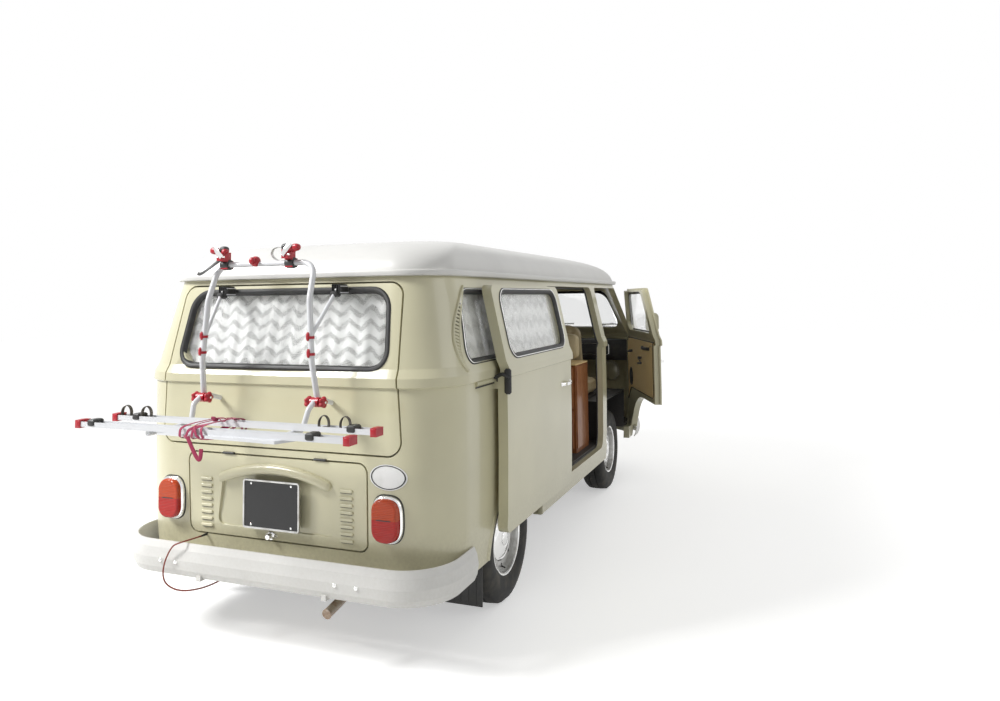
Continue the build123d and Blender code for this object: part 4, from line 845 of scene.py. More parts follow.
def patch(loop: Array, middle: Pairs, shares: Sequence[float], place: Place, out: float,
          rise: Sequence[float] | float = 0.0) -> Form:
    """A sheet on the skin, in rings from its middle out to a loop.

    Args:
        loop: Its edge, in the skin's two coordinates.
        middle: Its middle.
        shares: Ring sizes as shares of the edge, from the innermost.
        place: The function that carries points onto the skin.
        out: Distance off the skin.
        rise: How far each ring stands in from there.

    Returns:
        The sheet.
    """
    grid = middle + (loop - middle)[None] * np.maximum(shares, 1e-4)[:, None, None]
    points, normals = place(grid.reshape(-1, 2), out)
    points = points - normals * np.repeat(np.broadcast_to(rise, len(shares)), len(loop))[:, None]
    return grid_form(points.reshape(len(shares), len(loop), 3), closed_v=True)


# Stage


def posed(name: str, data: bpy.types.ID, across: Array, up: Array, away: Array, place: Array) -> bpy.types.Object:
    """Link a lamp or a camera that looks against its away direction, from a place."""
    made = bpy.data.objects.new(name, data)
    bpy.context.scene.collection.objects.link(made)
    made.matrix_world = Matrix(np.vstack((np.column_stack((across, up, away, place)), (0, 0, 0, 1))).tolist())
    return made


@dataclass
class Stage:
    """Floor, light and camera.

    Attributes:
        place: The camera's place.
        yaw: Its heading in degrees, from forwards to the left.
        pitch: Its climb in degrees.
        roll: Its roll in degrees.
        lens: Its focal length on a 36 mm sensor.
        shift: The picture's shift across and up.
    """

    place: Point = (2.2522, -2.8022, 1.5915)
    yaw: float = -20.65
    pitch: float = 3.44
    roll: float = -0.76
    lens: float = 26.43
    shift: tuple[float, float] = (-0.01497, -0.09631)

    def build(self) -> None:
        """Make the floor, the lights, the world and the camera."""
        self.floor()
        self.world()
        self.lamp("key_light", (-4.6, -5.4, 5.8), 730.0, 2.0)
        self.lamp("fill_light", (5.6, -1.0, 3.4), 55.0, 3.4)
        self.lamp("front_light", (2.5, 7.2, 4.2), 120.0, 3.4).visible_glossy = False
        self.camera()

    def floor(self) -> None:
        """A wide pale floor, plain white to the camera except where the van shades it."""
        mesh = bpy.data.meshes.new("floor")
        mesh.from_pydata([(*corner, 0) for corner in rectangle(-30.0, -30.0, 30.0, 30.0).tolist()], [], [(0, 1, 2, 3)])
        floor = bpy.data.objects.new("floor", mesh)
        bpy.context.scene.collection.objects.link(floor)
        n = Nodes("pale_floor", Roughness=0.9, Emission_Color=(1.0, 1.0, 1.0, 1.0), Specular_IOR_Level=0.1)
        away = n.add("ShaderNodeVectorMath", operation="LENGTH")
        n.feed(n.place, away.inputs[0])
        near, far = 4.5, 9.0
        distance = away.outputs["Value"]
        pale = n.mix(n.ramp(n.noise(0.6, 2.0), 0.3, 0.7), (0.80, 0.80, 0.79), (0.77, 0.77, 0.76))
        n.set(Base_Color=n.mix(n.ramp(distance, near, far), pale, (0.0, 0.0, 0.0)),
              Emission_Strength=n.math("MULTIPLY", n.beheld(), n.ramp(distance, near, far, 0.46, 1.0)))
        mesh.materials.append(n.owner)
        floor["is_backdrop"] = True

    def world(self) -> None:
        """A white world to the camera and through glass, softer as light."""
        world = bpy.data.worlds.new("soft_room")
        bpy.context.scene.world = world
        n = Nodes(world, Color=(1.0, 1.0, 1.0, 1.0))
        n.set(Strength=n.ramp(n.beheld(), 0.0, 1.0, 0.38, 1.0))

    def lamp(self, name: str, place: Point, power: float, size: float) -> bpy.types.Object:
        """A large soft lamp that faces the van's middle.

        Args:
            name: Its name.
            place: Where it hangs.
            power: Its power in watts.
            size: The length of its side.

        Returns:
            The lamp.
        """
        light = bpy.data.lights.new(name, "AREA")
        light.energy, light.size = power, size
        towards = np.array((0.0, 0.0, 0.9)) - np.array(place)
        towards /= np.linalg.norm(towards)
        across = np.cross(towards, UP)
        across /= np.linalg.norm(across)
        lamp = posed(name, light, across, np.cross(across, towards), -towards, np.array(place))
        lamp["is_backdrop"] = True
        return lamp

    def camera(self) -> None:
        """The camera where the photograph was taken from, with no blur."""
        y, p, r = (math.radians(a) for a in (self.yaw, self.pitch, self.roll))
        ahead = np.array((math.sin(y) * math.cos(p), math.cos(y) * math.cos(p), math.sin(p)))
        right = np.array((math.cos(y), -math.sin(y), 0.0))
        up = np.cross(right, ahead)
        right, up = math.cos(r) * right + math.sin(r) * up, -math.sin(r) * right + math.cos(r) * up
        data = bpy.data.cameras.new("photo_camera")
        data.sensor_width, data.lens, data.clip_end = 36.0, self.lens, 100.0
        data.shift_x, data.shift_y = self.shift
        bpy.context.scene.camera = posed("photo_camera", data, right, up, -ahead, np.array(self.place) + ORIGIN)
        bpy.context.scene.view_settings.view_transform = "Standard"


@dataclass
class Lead:
    """The loose lead that comes out under the engine lid and goes back under the bumper.

    Attributes:
        route: Corner points of its run.
        diameter: Its thickness.
    """

    route: tuple = (
        (-0.400, 0.024, 0.490), (-0.400, -0.030, 0.490), (-0.432, -0.122, 0.487), (-0.470, -0.124, 0.470),
        (-0.512, -0.124, 0.400), (-0.530, -0.120, 0.330), (-0.512, -0.112, 0.282), (-0.450, -0.085, 0.252),
        (-0.385, -0.010, 0.250), (-0.345, 0.080, 0.268), (-0.340, 0.140, 0.290), (-0.340, 0.140, 0.320),
    )
    diameter: float = 0.007

    def build(self) -> None:
        """Make the lead as one open spline and its sleeve."""
        points = np.array(self.route) + ORIGIN
        curve = bpy.data.curves.new("lead_run", "CURVE")
        curve.dimensions = "3D"
        curve.bevel_depth, curve.bevel_resolution = self.diameter / 2, 4
        curve.resolution_u, curve.use_fill_caps = 16, True
        spline = curve.splines.new("NURBS")
        spline.points.add(len(points) - 1)
        spline.points.foreach_set("co", np.column_stack((points, np.ones(len(points)))).ravel())
        spline.order_u, spline.use_endpoint_u = 3, True
        curve.materials.append(material_of(Finish.SHEATH))
        lead = bpy.data.objects.new("lead_run", curve)
        bpy.context.scene.collection.objects.link(lead)
        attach(lead, "body")
        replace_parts(lead, "lead")
        sleeve_length = 0.042
        along = np.linspace(0.0, sleeve_length, 10)
        width = 0.0068 - 0.0030 * along / sleeve_length + 0.0005 * np.cos(along / sleeve_length * 5 * TURN)
        sleeve = turned(np.column_stack((-along, width)), (-0.400, 0.022, 0.490), 1, 20)
        sleeve = piece("lead_sleeve", sleeve, Finish.RUBBER)


# Body


CAD_FINISHES = {
    Finish.CREAM: "tail_panel nose_panel side_left side_right sliding_door hatch engine_lid "
                  "cab_door_left cab_door_right",
    Finish.WHITE: "roof rear_bumper front_bumper",
    Finish.GLASS: "side_glass windscreen hatch_glass cab_glass_left cab_glass_right",
    Finish.CHASSIS: "wheel_houses floor_pan engine_bay front_axle rear_axle knuckle_left knuckle_right gearbox",
    Finish.RUBBER: "mud_flaps",
    Finish.PLATE: "number_plate",
    Finish.TAIL_LENS: "tail_lamps",
    Finish.ALLOY: "carrier_frame carrier_channels",
    Finish.RED: "carrier_clamps",
    Finish.SILVER: "rim_front_left rim_front_right rim_rear_left rim_rear_right",
    Finish.CLEAR_LENS: "front_lamps",
    Finish.PLASTIC: "air_grille steering_wheel",
    Finish.WOOD: "furniture",
    Finish.DASH: "dashboard",
    Finish.PIPE: "exhaust",
    Finish.IRON: "engine",
}
SEAL = ((-0.016, -0.0165), (-0.015, -0.010), (-0.008, 0.0030), (0.001, 0.0062), (0.010, 0.0050), (0.0145, 0.0005),
        (0.012, -0.001), (0.001, -0.001), (0.001, -0.0165))
STRIP = ((0.0050, 0.0050), (0.0055, 0.0066), (0.0070, 0.0074), (0.0090, 0.0070), (0.0098, 0.0052), (0.0095, 0.0040),
         (0.0060, 0.0046))
BOLT = np.array(((0.002, 0.0), (-0.0065, 0.0), (-0.0060, 0.004), (-0.0035, 0.008), (-0.0005, 0.0105), (0.002, 0.0110)))
PULL = np.array(((0.0, 0.006), (0.012, 0.006), (0.017, 0.013), (0.023, 0.013), (0.026, 0.008), (0.026, 0.0)))


def window_seal(name: str, place: Place, loop: Array, body: str = "body", turn: Turn = as_is,
                bright: bool = True) -> None:
    """A rubber bead round a window, with a thin strip let into it that is bright or black."""
    piece(f"{name}_seal", turn(laid(place, loop, SEAL, closed=True)), Finish.RUBBER, body, 60)
    piece(f"{name}_strip", turn(laid(place, loop, STRIP, closed=True)), Finish.CHROME if bright else Finish.PLASTIC,
          body, 60)


class BodyShell:
    """Window seals, gutter lip, arch lips, air intakes, door rail and handles on the painted body."""

    def build(self) -> None:
        """Dress the body."""
        self.side_seals()
        self.gutter()
        self.arches()
        self.intakes()
        self.rail()
        self.handles()

    def side_seals(self) -> None:
        """Seals of the quarter, middle and cab windows on both sides."""
        quarter = ((0.262, 1.302), (1.452, 1.302), (1.446, 1.632), (0.330, 1.632))
        cab = ((2.956, 1.302), (3.782, 1.302), (3.560, 1.632), (2.968, 1.632))
        for name, corners, body, turn in (("quarter", quarter, "body", as_is),
                                          ("middle", rectangle(1.733, 1.302, 2.647, 1.632), "body", slid),
                                          ("cab", cab, "cab_door_{}", opened)):
            loop = rounded_loop(corners, 0.0775, 9, 14)
            for suffix, way in (("left", Form.mirrored), ("right", turn)):
                window_seal(f"{name}_window_{suffix}", SHAPE.on_side, loop, body.format(suffix), way)

    def gutter(self) -> None:
        """A rolled lip along the outer edge of the roof gutter."""
        arcs = []
        corners = rectangle(-0.7945, 0.086, 0.7945, 3.852)
        for (x, y), radius, quarter in zip(corners, (0.237, 0.237, 0.352, 0.352), (2, 3, 0, 1)):
            angle = (quarter + np.linspace(0, 1, 16)) * math.pi / 2
            middle = np.array((x - math.copysign(radius, x), y + math.copysign(radius, 1 - y)))
            arcs.append(middle + radius * np.stack((np.cos(angle), np.sin(angle)), -1))
        ring = np.vstack(arcs)
        lip = ((0.0015, -0.020), (0.006, -0.018), (0.0085, -0.008), (0.0085, 0.001), (0.006, 0.006),
               (0.001, 0.0075), (-0.003, 0.005), (-0.004, 0.001), (0.0005, 0.0), (0.0008, -0.012))
        path = np.column_stack((ring, np.full(len(ring), 1.7215)))
        piece("gutter_lip", swept(path, lip, UP, closed=True), Finish.WHITE, angle=50)

    def arches(self) -> None:
        """A rolled lip round each rear wheel arch, following circle and flat top."""
        radius, centre_z, foot, top = 0.395, 0.315, 0.3445, 0.615
        low, high = math.asin((foot - centre_z) / radius), math.asin((top - centre_z) / radius)
        angle = np.concatenate((np.linspace(math.pi - low, math.pi - high, 20), np.linspace(high, low, 20)))
        arc = np.stack((REAR_AXLE + radius * np.cos(angle), centre_z + radius * np.sin(angle)), -1)
        loop = np.vstack((arc[:20], level(arc[19, 0], arc[20, 0], 8, top)[1:-1], arc[20:]))
        lip = ((0.004, -0.020), (0.004, 0.001), (0.001, 0.0075), (-0.006, 0.0085), (-0.016, 0.004),
               (-0.026, -0.0005), (-0.012, -0.001), (-0.001, -0.002), (0.0, -0.020))
        for suffix, turn in (("right", as_is), ("left", Form.mirrored)):
            piece(f"rear_arch_lip_{suffix}", turn(laid(SHAPE.on_side, loop, lip)), Finish.CREAM, angle=50)

    def intakes(self) -> None:
        """Air intakes at the rear corners: a raised crescent rim round slats over a black sheet of painted shade where
        the opening would be.
        """
        top, bottom, away = np.array((0.400, 1.650)), np.array((0.268, 1.268)), np.array((0.026, 0.0))
        t = np.linspace(0, 1, 26)[:, None]
        back, front = ((1 - t) ** 2 * bottom + 2 * t * (1 - t) * np.array(middle) + t**2 * top - away
                       for middle in ((0.140, 1.435), (0.210, 1.408)))
        rim = ((-0.006, -0.003), (-0.006, 0.004), (-0.002, 0.0085), (0.003, 0.0085), (0.007, 0.003), (0.007, -0.003))
        slat = ((-0.0072, -0.001), (-0.0068, 0.002), (-0.001, 0.0050), (0.0060, 0.0050), (0.0068, 0.0))
        share = np.linspace(0, 1, 7)[None, :, None]
        # A black sheet just off the skin between the slats' ends: painted shade where the intake's opening would be.
        dark_shade_grid, _ = SHAPE.on_side((back[:, None] * (1 - share) + front[:, None] * share).reshape(-1, 2), 0.0012)
        rim_form = laid(SHAPE.on_side, np.vstack((front, back[::-1][1:-1])), rim, 0.001, closed=True)
        slats = joined([laid(SHAPE.on_side, spoke(back[row], front[row] - back[row], 0, 1, 6), slat, 0.002)
                        for row in range(2, 24)])
        for suffix, turn in (("right", as_is), ("left", Form.mirrored)):
            piece(f"intake_rim_{suffix}", turn(rim_form), Finish.CREAM, angle=50)
            piece(f"intake_shade_sheet_{suffix}", turn(grid_form(dark_shade_grid.reshape(26, 7, 3))), Finish.CHASSIS)
            piece(f"intake_slats_{suffix}", turn(slats), Finish.CREAM, angle=35)

    def rail(self) -> None:
        """The sliding door's outer rail cover under the quarter window, with a black strip of painted shade below it
        for the rail's slot.
        """
        cover = ((-0.012, -0.002), (-0.012, 0.006), (-0.009, 0.011), (0.0, 0.0125), (0.007, 0.0095), (0.010, 0.004),
                 (0.010, -0.002))
        # The slot under the cover is a thin black strip: painted shade where the rail's gap would be.
        slot_shade_line = ((-0.0035, -0.001), (-0.0035, 0.0022), (0.0035, 0.0022), (0.0035, -0.001))
        for name, profile, height, finish, angle in (("cover", cover, 1.196, Finish.CREAM, 50),
                                                     ("slot", slot_shade_line, 1.180, Finish.PLASTIC, 40)):
            piece(f"door_rail_{name}", laid(SHAPE.on_side, level(0.330, 1.625, 40, height), profile), finish,
                  angle=angle)

    def pull(self, y: float, z: float, length: float) -> Form:
        """A bow-shaped handle on two feet: its distance off the skin is a half sine, raised to a low power."""
        share = np.linspace(0, 1, 22)
        points, normals = SHAPE.on_side(np.column_stack((y + (share - 0.5) * length, np.full(22, z))))
        lift = 0.026 * np.sin(share * math.pi) ** 0.35 + 0.002
        parts = [swept(points + normals * lift[:, None], oval(0.0095, 0.0048, 3.0, 12), normals)]
        parts += [swept(spoke(points[end], normals[end], -0.001, 0.006), oval(0.016, 0.013, 2.5, 16), UP)
                  for end in (0, -1)]
        return joined([*parts, swept(spoke(points[3], normals[3], 0.0, 0.034), circle(0.0085, 14), UP)])

    def handles(self) -> None:
        """Handles of the cab doors and of the sliding door."""
        cab, slide = self.pull(2.965, 1.085, 0.150), self.pull(2.610, 1.075, 0.165)
        for name, form, body in (("cab_left", cab.mirrored(), "cab_door_left"),
                                 ("cab_right", opened(cab), "cab_door_right"), ("sliding_door", slid(slide), "body")):
            piece(f"handle_{name}", form, Finish.CHROME, body, 50)


class Tail:
    """The tailgate's seal, and the lamps, the engine lid's trim, the plate, the plaque and the bumper's bolts."""

    def build(self) -> None:
        """Dress the tail."""
        window = rounded_loop(((-0.584, 1.290), (0.584, 1.290), (0.552, 1.640), (-0.552, 1.640)), 0.0875, 10, 16)
        window_seal("tailgate_window", SHAPE.on_rear, window, "hatch", bright=False)
        self.lamps()
        self.lid()
        self.plate()
        self.plaque()
        heads = [turned(BOLT, (x, -0.1055, 0.392), 1, 20) for x in (-0.560, 0.400, 0.505, -0.470)]
        piece("bumper_bolts", heads, Finish.CHROME)

    def lamps(self) -> None:
        """A bright ring, a dividing bar and a lens gasket for each lamp."""
        ring = ((-0.0075, -0.002), (-0.0085, 0.012), (-0.004, 0.0185), (0.002, 0.0175), (0.0055, 0.009),
                (0.0065, -0.002))
        gasket = ((0.003, -0.001), (0.003, 0.003), (0.0095, 0.003), (0.0105, -0.001))
        lamp_x, lamp_z = 0.595, 0.652
        for side, suffix in TWINS:
            outline = oval(0.0665, 0.0955, 3.2, 64) + np.array((side * lamp_x, lamp_z))
            for name, profile, finish in (("ring", ring, Finish.CHROME), ("gasket", gasket, Finish.RUBBER)):
                piece(f"lamp_{name}_{suffix}", laid(SHAPE.on_rear, outline, profile, closed=True), finish, angle=60)
            share = np.linspace(-1, 1, 12)
            line = np.column_stack((side * lamp_x + share * 0.058, -0.0335 + 0.010 * np.abs(share) ** 4,
                                    np.full(12, lamp_z + 0.004)))
            piece(f"lamp_bar_{suffix}", swept(line, oval(0.0022, 0.0022, 3.0, 8), AFT), Finish.PLASTIC)

    def lid(self) -> None:
        """Black strips of painted shade under the louvres where their openings would be, the push button of the lock
        and the hinge covers.
        """
        lowest, pitch, louvre_x, half = 0.5302, 0.031, 0.388, 0.029
        # Black strips under the louvres: painted shade where their openings would be.
        louvre_shades = [laid(SHAPE.on_rear, level(side * louvre_x - half, side * louvre_x + half, 10, lowest + step * pitch),
                       oval(0.0022, 0.0055, 3.0, 8)) for step in range(8) for side in SIDES]
        piece("louvre_shade_strips", louvre_shades, Finish.PLASTIC, "engine_lid")
        button = ((0.030, 0.0), (-0.016, 0.0), (-0.0175, 0.004), (-0.0175, 0.0105), (-0.015, 0.0125), (0.004, 0.0125),
                  (0.006, 0.016), (0.008, 0.019), (0.016, 0.019))
        piece("lid_button", turned(button, (-0.020, 0.0, 0.522), 1, 32), Finish.CHROME, "engine_lid")
        wings = oval(0.030, 0.009, 2.6, 24) + np.array((-0.020, 0.522))
        flange = ((-0.003, -0.001), (-0.003, 0.003), (0.003, 0.003), (0.004, -0.001))
        piece("lid_button_wings", laid(SHAPE.on_rear, wings, flange, closed=True), Finish.CHROME, "engine_lid")
        for side, suffix in TWINS:
            x = side * 0.255
            piece(f"lid_hinge_{suffix}", block((x - 0.034, -0.0105, 0.8795), (x + 0.034, 0.006, 0.8885), 4, 0.003),
                  Finish.CHASSIS)

    def plate(self) -> None:
        """The blank plate's silver frame and its screws."""
        middle, face = np.array((0.005, 0.668)), -0.024
        loop = rounded_loop(rectangle(-0.1535, -0.1085, 0.1535, 0.1085), 0.012, 6, 4) + middle
        path = np.column_stack((loop[:, 0], np.full(len(loop), face), loop[:, 1]))
        edge = ((-0.006, -0.001), (-0.006, 0.0022), (-0.002, 0.004), (0.0018, 0.003), (0.002, -0.005), (0.0, -0.005),
                (-0.001, -0.001))
        piece("plate_frame", swept(path, edge, AFT, closed=True), Finish.SILVER, "engine_lid", 50)
        screw = ((0.001, 0.0), (-0.0028, 0.0), (-0.0028, 0.003), (-0.0012, 0.0052), (0.001, 0.0055))
        screws = [turned(screw, (middle[0] + x, face, middle[1] + z), 1, 18)
                  for x in (-0.11, 0.11) for z in (-0.092, 0.092)]
        piece("plate_screws", screws, Finish.CHROME, "engine_lid")

    def plaque(self) -> None:
        """A blank white oval with a dark ring on the right rear corner."""
        centre = np.array((0.5985, 0.830))
        loop = oval(0.0885, 0.0555, 2.0, 56) + centre
        for name, shares, out, finish in (("plaque", np.linspace(0, 1, 12), 0.0016, Finish.BADGE),
                                          ("ring", (0.86, 0.90, 0.93), 0.0024, Finish.PLASTIC)):
            piece(f"oval_{name}", patch(loop, centre, shares, SHAPE.on_rear, out), finish)


@dataclass
class Carrier:
    """Knobs, clips, hooks, clamps, straps, loops and caps on the folding bicycle carrier.

    Attributes:
        top_x: Half width of the uprights at the top bar.
        low_x: Half width at the elbows.
        uprights: Side view of the uprights from the top bar to the elbows, (y, z).
        rail_z: Height of the wheel channels' undersides.
        rows: The channels' places behind the van.
        rail_half: Half their length.
    """

    top_x: float = 0.268
    low_x: float = 0.312
    uprights: tuple = ((-0.062, 1.765), (-0.118, 1.600), (-0.128, 1.330), (-0.105, 1.172))
    rail_z: float = 1.058
    rows: tuple = (-0.232, -0.420)
    rail_half: float = 0.672

    def build(self) -> None:
        """Dress the carrier."""
        self.knobs()
        self.clips()
        self.hooks()
        self.clamps()
        self.channels()
        self.lashing()

    def upright(self, z: float, side: int) -> Array:
        """The middle of an upright at a height."""
        places, heights = np.array(self.uprights).T
        share = (heights[0] - z) / (heights[0] - heights[-1])
        return np.array((side * (self.top_x + (self.low_x - self.top_x) * share), np.interp(-z, -heights, places), z))

    def knobs(self) -> None:
        """Star knobs either side of each elbow: radius r = r0 (1 + 0.16 cos 5a), rounded along their axis."""
        angle = np.arange(60) * TURN / 60
        across = np.array((-0.012, -0.010, -0.004, 0.004, 0.010, 0.0125))[:, None]
        radius = np.array((0.010, 0.019, 0.0225, 0.0225, 0.018, 0.009))[:, None] * (1 + 0.16 * np.cos(5 * angle))
        grid = np.stack((np.broadcast_to(across, radius.shape), radius * np.cos(angle), radius * np.sin(angle)), -1)
        star = grid_form(grid, closed_v=True, capped=True)
        bolt = ((-0.054, 0.0), (-0.054, 0.0045), (-0.050, 0.006), (0.050, 0.006), (0.054, 0.0045), (0.054, 0.0))
        cheek = ((-0.021, 0.004), (-0.021, 0.021), (0.021, 0.021), (0.021, 0.004))
        knobs, bolts = [], []
        for side in SIDES:
            pivot = self.upright(1.172, side) + np.array((0.0, -0.010, -0.016))
            knobs += [star.moved(pivot + np.array((offset, 0.0, 0.0))) for offset in (-0.036, 0.038)]
            knobs.append(turned(cheek, pivot, 0, 28, closed=True))
            bolts.append(turned(bolt, pivot, 0, 16))
        piece("elbow_knobs", knobs, Finish.RED, "hatch", 45)
        piece("elbow_bolts", bolts, Finish.CHROME, "hatch")

    def clips(self) -> None:
        """Two red cable clips on each upright, each with a band round the tube."""
        band = ((-0.006, 0.0132), (-0.006, 0.0155), (0.006, 0.0155), (0.006, 0.0132))
        clips = []
        for side in SIDES:
            for z in (1.438, 1.366):
                clips.append(pillow(self.upright(z, side) + np.array((-0.006, -0.0125, 0.0)), (0.0085, 0.0075, 0.020),
                                    2.6, 0.1, 14))
                clips.append(turned(band, self.upright(z - 0.004, side), 2, 28, closed=True))
        piece("cable_clips", clips, Finish.RED, "hatch")

    def hooks(self) -> None:
        """Black hooks over the tailgate's top edge, with ribs and a bolt."""
        hooks, heads = [], []
        bolt = ((0.0, 0.0), (-0.007, 0.0), (-0.007, 0.004), (-0.005, 0.0065), (0.0, 0.007))
        for side in SIDES:
            x = side * 0.322
            hooks.append(block((x - 0.0245, 0.020, 1.6235), (x + 0.0245, 0.087, 1.6615), 5, 0.008))
            for rib in x - 0.018 + 0.012 * np.arange(4):
                hooks.append(block((rib - 0.0016, 0.014, 1.626), (rib + 0.0016, 0.080, 1.6665), 3, 0.001))
            hooks.append(block((x - 0.017, -0.004, 1.608), (x + 0.017, 0.036, 1.634), 5, 0.006))
            heads.append(turned(bolt, (x, 0.021, 1.642), 1, 6))
        piece("tailgate_hooks", hooks, Finish.PLASTIC, "hatch", 35)
        piece("hook_bolts", heads, Finish.CHROME, "hatch", flat=True)

    def clamps(self) -> None:
        """Two frame clamps on the top bar with black jaws and bright levers, a knob, a silver loop and a strap."""
        jaw = ((-0.0215, 0.0135), (-0.0215, 0.0225), (-0.017, 0.0245), (0.017, 0.0245), (0.0215, 0.0225),
               (0.0215, 0.0135))
        pin = ((-0.023, 0.0), (-0.023, 0.0045), (0.023, 0.0045), (0.023, 0.0))
        jaws, levers, bodies = [], [], []
        for x, lean in ((-0.224, -0.35), (0.140, 0.30)):
            way = math.copysign(1.0, lean)
            jaws.append(turned(jaw, (x, -0.062, 1.765), 0, 32, closed=True))
            jaws.append(pillow((x - 0.008 * way, -0.088, 1.834), (0.020, 0.017, 0.017), 3.0, 0.1, 16))
            for centre, half, power, crown, rows in (
                ((x, -0.084, 1.806), (0.0185, 0.0295, 0.0215), 3.4, 0.25, 20),
                ((x + 0.020, -0.096, 1.826), (0.016, 0.016, 0.013), 2.4, 0.1, 16),
                ((x + 0.046 * way, -0.090, 1.832), (0.022, 0.015, 0.017), 2.8, 0.15, 18),
                ((x + 0.026 * way, -0.088, 1.822), (0.026, 0.012, 0.010), 2.6, 0.1, 14),
            ):
                bodies.append(pillow(centre, half, power, crown, rows))
            turn = np.linspace(-0.4, 1.1, 14)
            arc = np.column_stack((x + lean * 0.10 * np.sin(turn), -0.108 - 0.006 * np.cos(turn * 2),
                                   1.812 + 0.034 * turn))
            levers.append(swept(arc, oval(0.0115, 0.0022, 3.0, 12), (0.0, -1.0, 0.1)))
            levers.append(turned(pin, (x, -0.106, 1.800), 0, 14))
        piece("clamp_jaws", jaws, Finish.PLASTIC, "hatch")
        piece("clamp_bodies", bodies, Finish.RED, "hatch")
        piece("clamp_levers", levers, Finish.CHROME, "hatch")
        knob = [pillow((-0.051, -0.070, 1.776), (0.021, 0.019, 0.024), 2.6, 0.1, 18),
                pillow((-0.051, -0.094, 1.778), (0.014, 0.012, 0.017), 2.4, 0.1, 16)]
        piece("bar_knob", knob, Finish.RED, "hatch")
        angle = np.linspace(-0.5 * math.pi, 1.38 * math.pi, 44)
        loop = np.column_stack((0.088 + 0.047 * np.cos(angle), -0.070 - 0.010 * np.sin(angle),
                                1.806 + 0.030 * np.sin(angle)))
        radial = np.column_stack((np.cos(angle), np.zeros(44), np.sin(angle)))
        share = np.linspace(0, 1, 30)
        drop = np.column_stack((-0.232 - 0.150 * share, -0.078 - 0.030 * np.sin(share * math.pi),
                                1.800 - 0.075 * np.sin(share * 0.62 * math.pi)))
        piece("clamp_loop", swept(loop, oval(0.009, 0.0013, 3.0, 10), radial), Finish.SILVER, "hatch")
        piece("clamp_strap", swept(drop, oval(0.0013, 0.008, 3.0, 10), (0.0, 0.3, 1.0)), Finish.RUBBER, "hatch")

    def channels(self) -> None:
        """End caps, slider blocks, wheel-holder loops and rail ribs."""
        low = self.rail_z
        caps = [pillow((side * (self.rail_half + 0.013), row, low + 0.012), (0.0155, 0.0285, 0.0185), 5.0, 0.05, 18)
                for side in SIDES for row in self.rows]
        sliders = [block((x - 0.020, row - 0.0275, low + 0.004), (x + 0.020, row + 0.0275, low + 0.0335), 4, 0.006)
                   for x, row in ((-0.610, -0.420), (0.520, -0.420), (-0.560, -0.232), (0.580, -0.232))]
        hoops, row = [], self.rows[0]
        angle = np.linspace(-0.12 * math.pi, 1.12 * math.pi, 26)
        radial = np.column_stack((np.cos(angle), np.zeros(26), np.sin(angle)))
        for x in (-0.640, -0.520, 0.437, 0.540):
            hoop = np.column_stack((x + 0.017 * np.cos(angle), row + 0.010 * np.cos(angle),
                                    low + 0.030 + 0.034 * np.sin(angle)))
            hoops.append(swept(hoop, oval(0.0085, 0.0022, 3.0, 12), radial))
            hoops.append(block((x - 0.014, row - 0.022, low + 0.002), (x + 0.014, row + 0.022, low + 0.018), 4, 0.004))
        ribs = []
        for y in (row + offset for row in self.rows for offset in (-0.0095, 0.0, 0.0095)):
            line = np.column_stack((level(-self.rail_half, self.rail_half, 6, y), np.full(6, low + 0.0032)))
            ribs.append(swept(line, oval(0.0016, 0.0012, 2.5, 8), UP))
        piece("rail_caps", caps, Finish.RED, "hatch")
        piece("rail_sliders", sliders, Finish.PLASTIC, "hatch")
        piece("wheel_hoops", hoops, Finish.IRON, "hatch")
        piece("rail_ribs", ribs, Finish.ALLOY, "hatch")

    def lashing(self) -> None:
        """A webbing strap wound round the rails and the board, with a loose end that hangs below."""
        turns = []
        c, s = round_steps(64)
        radial = unit(np.column_stack((np.zeros(64), c, 0.6 * s)))
        for x, slant in ((-0.062, 0.050), (-0.018, -0.040), (-0.100, 0.012), (-0.036, 0.026), (0.012, -0.020)):
            loop = np.column_stack((x + slant * s, -0.328 + 0.128 * bent(c, 0.62),
                                    self.rail_z + 0.006 + 0.030 * bent(s, 0.5)))
            turns.append(swept(loop, oval(0.0062, 0.0014, 3.0, 10), radial, closed=True))
        share = np.linspace(0, 1, 40)
        end = np.column_stack((-0.055 + 0.060 * share + 0.020 * np.sin(share * 3.0), -0.462 + 0.010 * share,
                               1.052 - 0.090 * np.sin(share * 0.82 * math.pi)))
        bow = np.column_stack((-0.075 + 0.130 * share, -0.300 - 0.040 * np.sin(share * math.pi),
                               1.093 + 0.016 * np.sin(share * 3 * math.pi) ** 2))
        for line, normal in ((end, (0.3, -1.0, 0.0)), (bow, (0.0, 0.2, 1.0))):
            turns.append(swept(line, oval(0.0085, 0.0012, 3.0, 10), normal))
        piece("lashing_strap", turns, Finish.STRAP, "hatch")


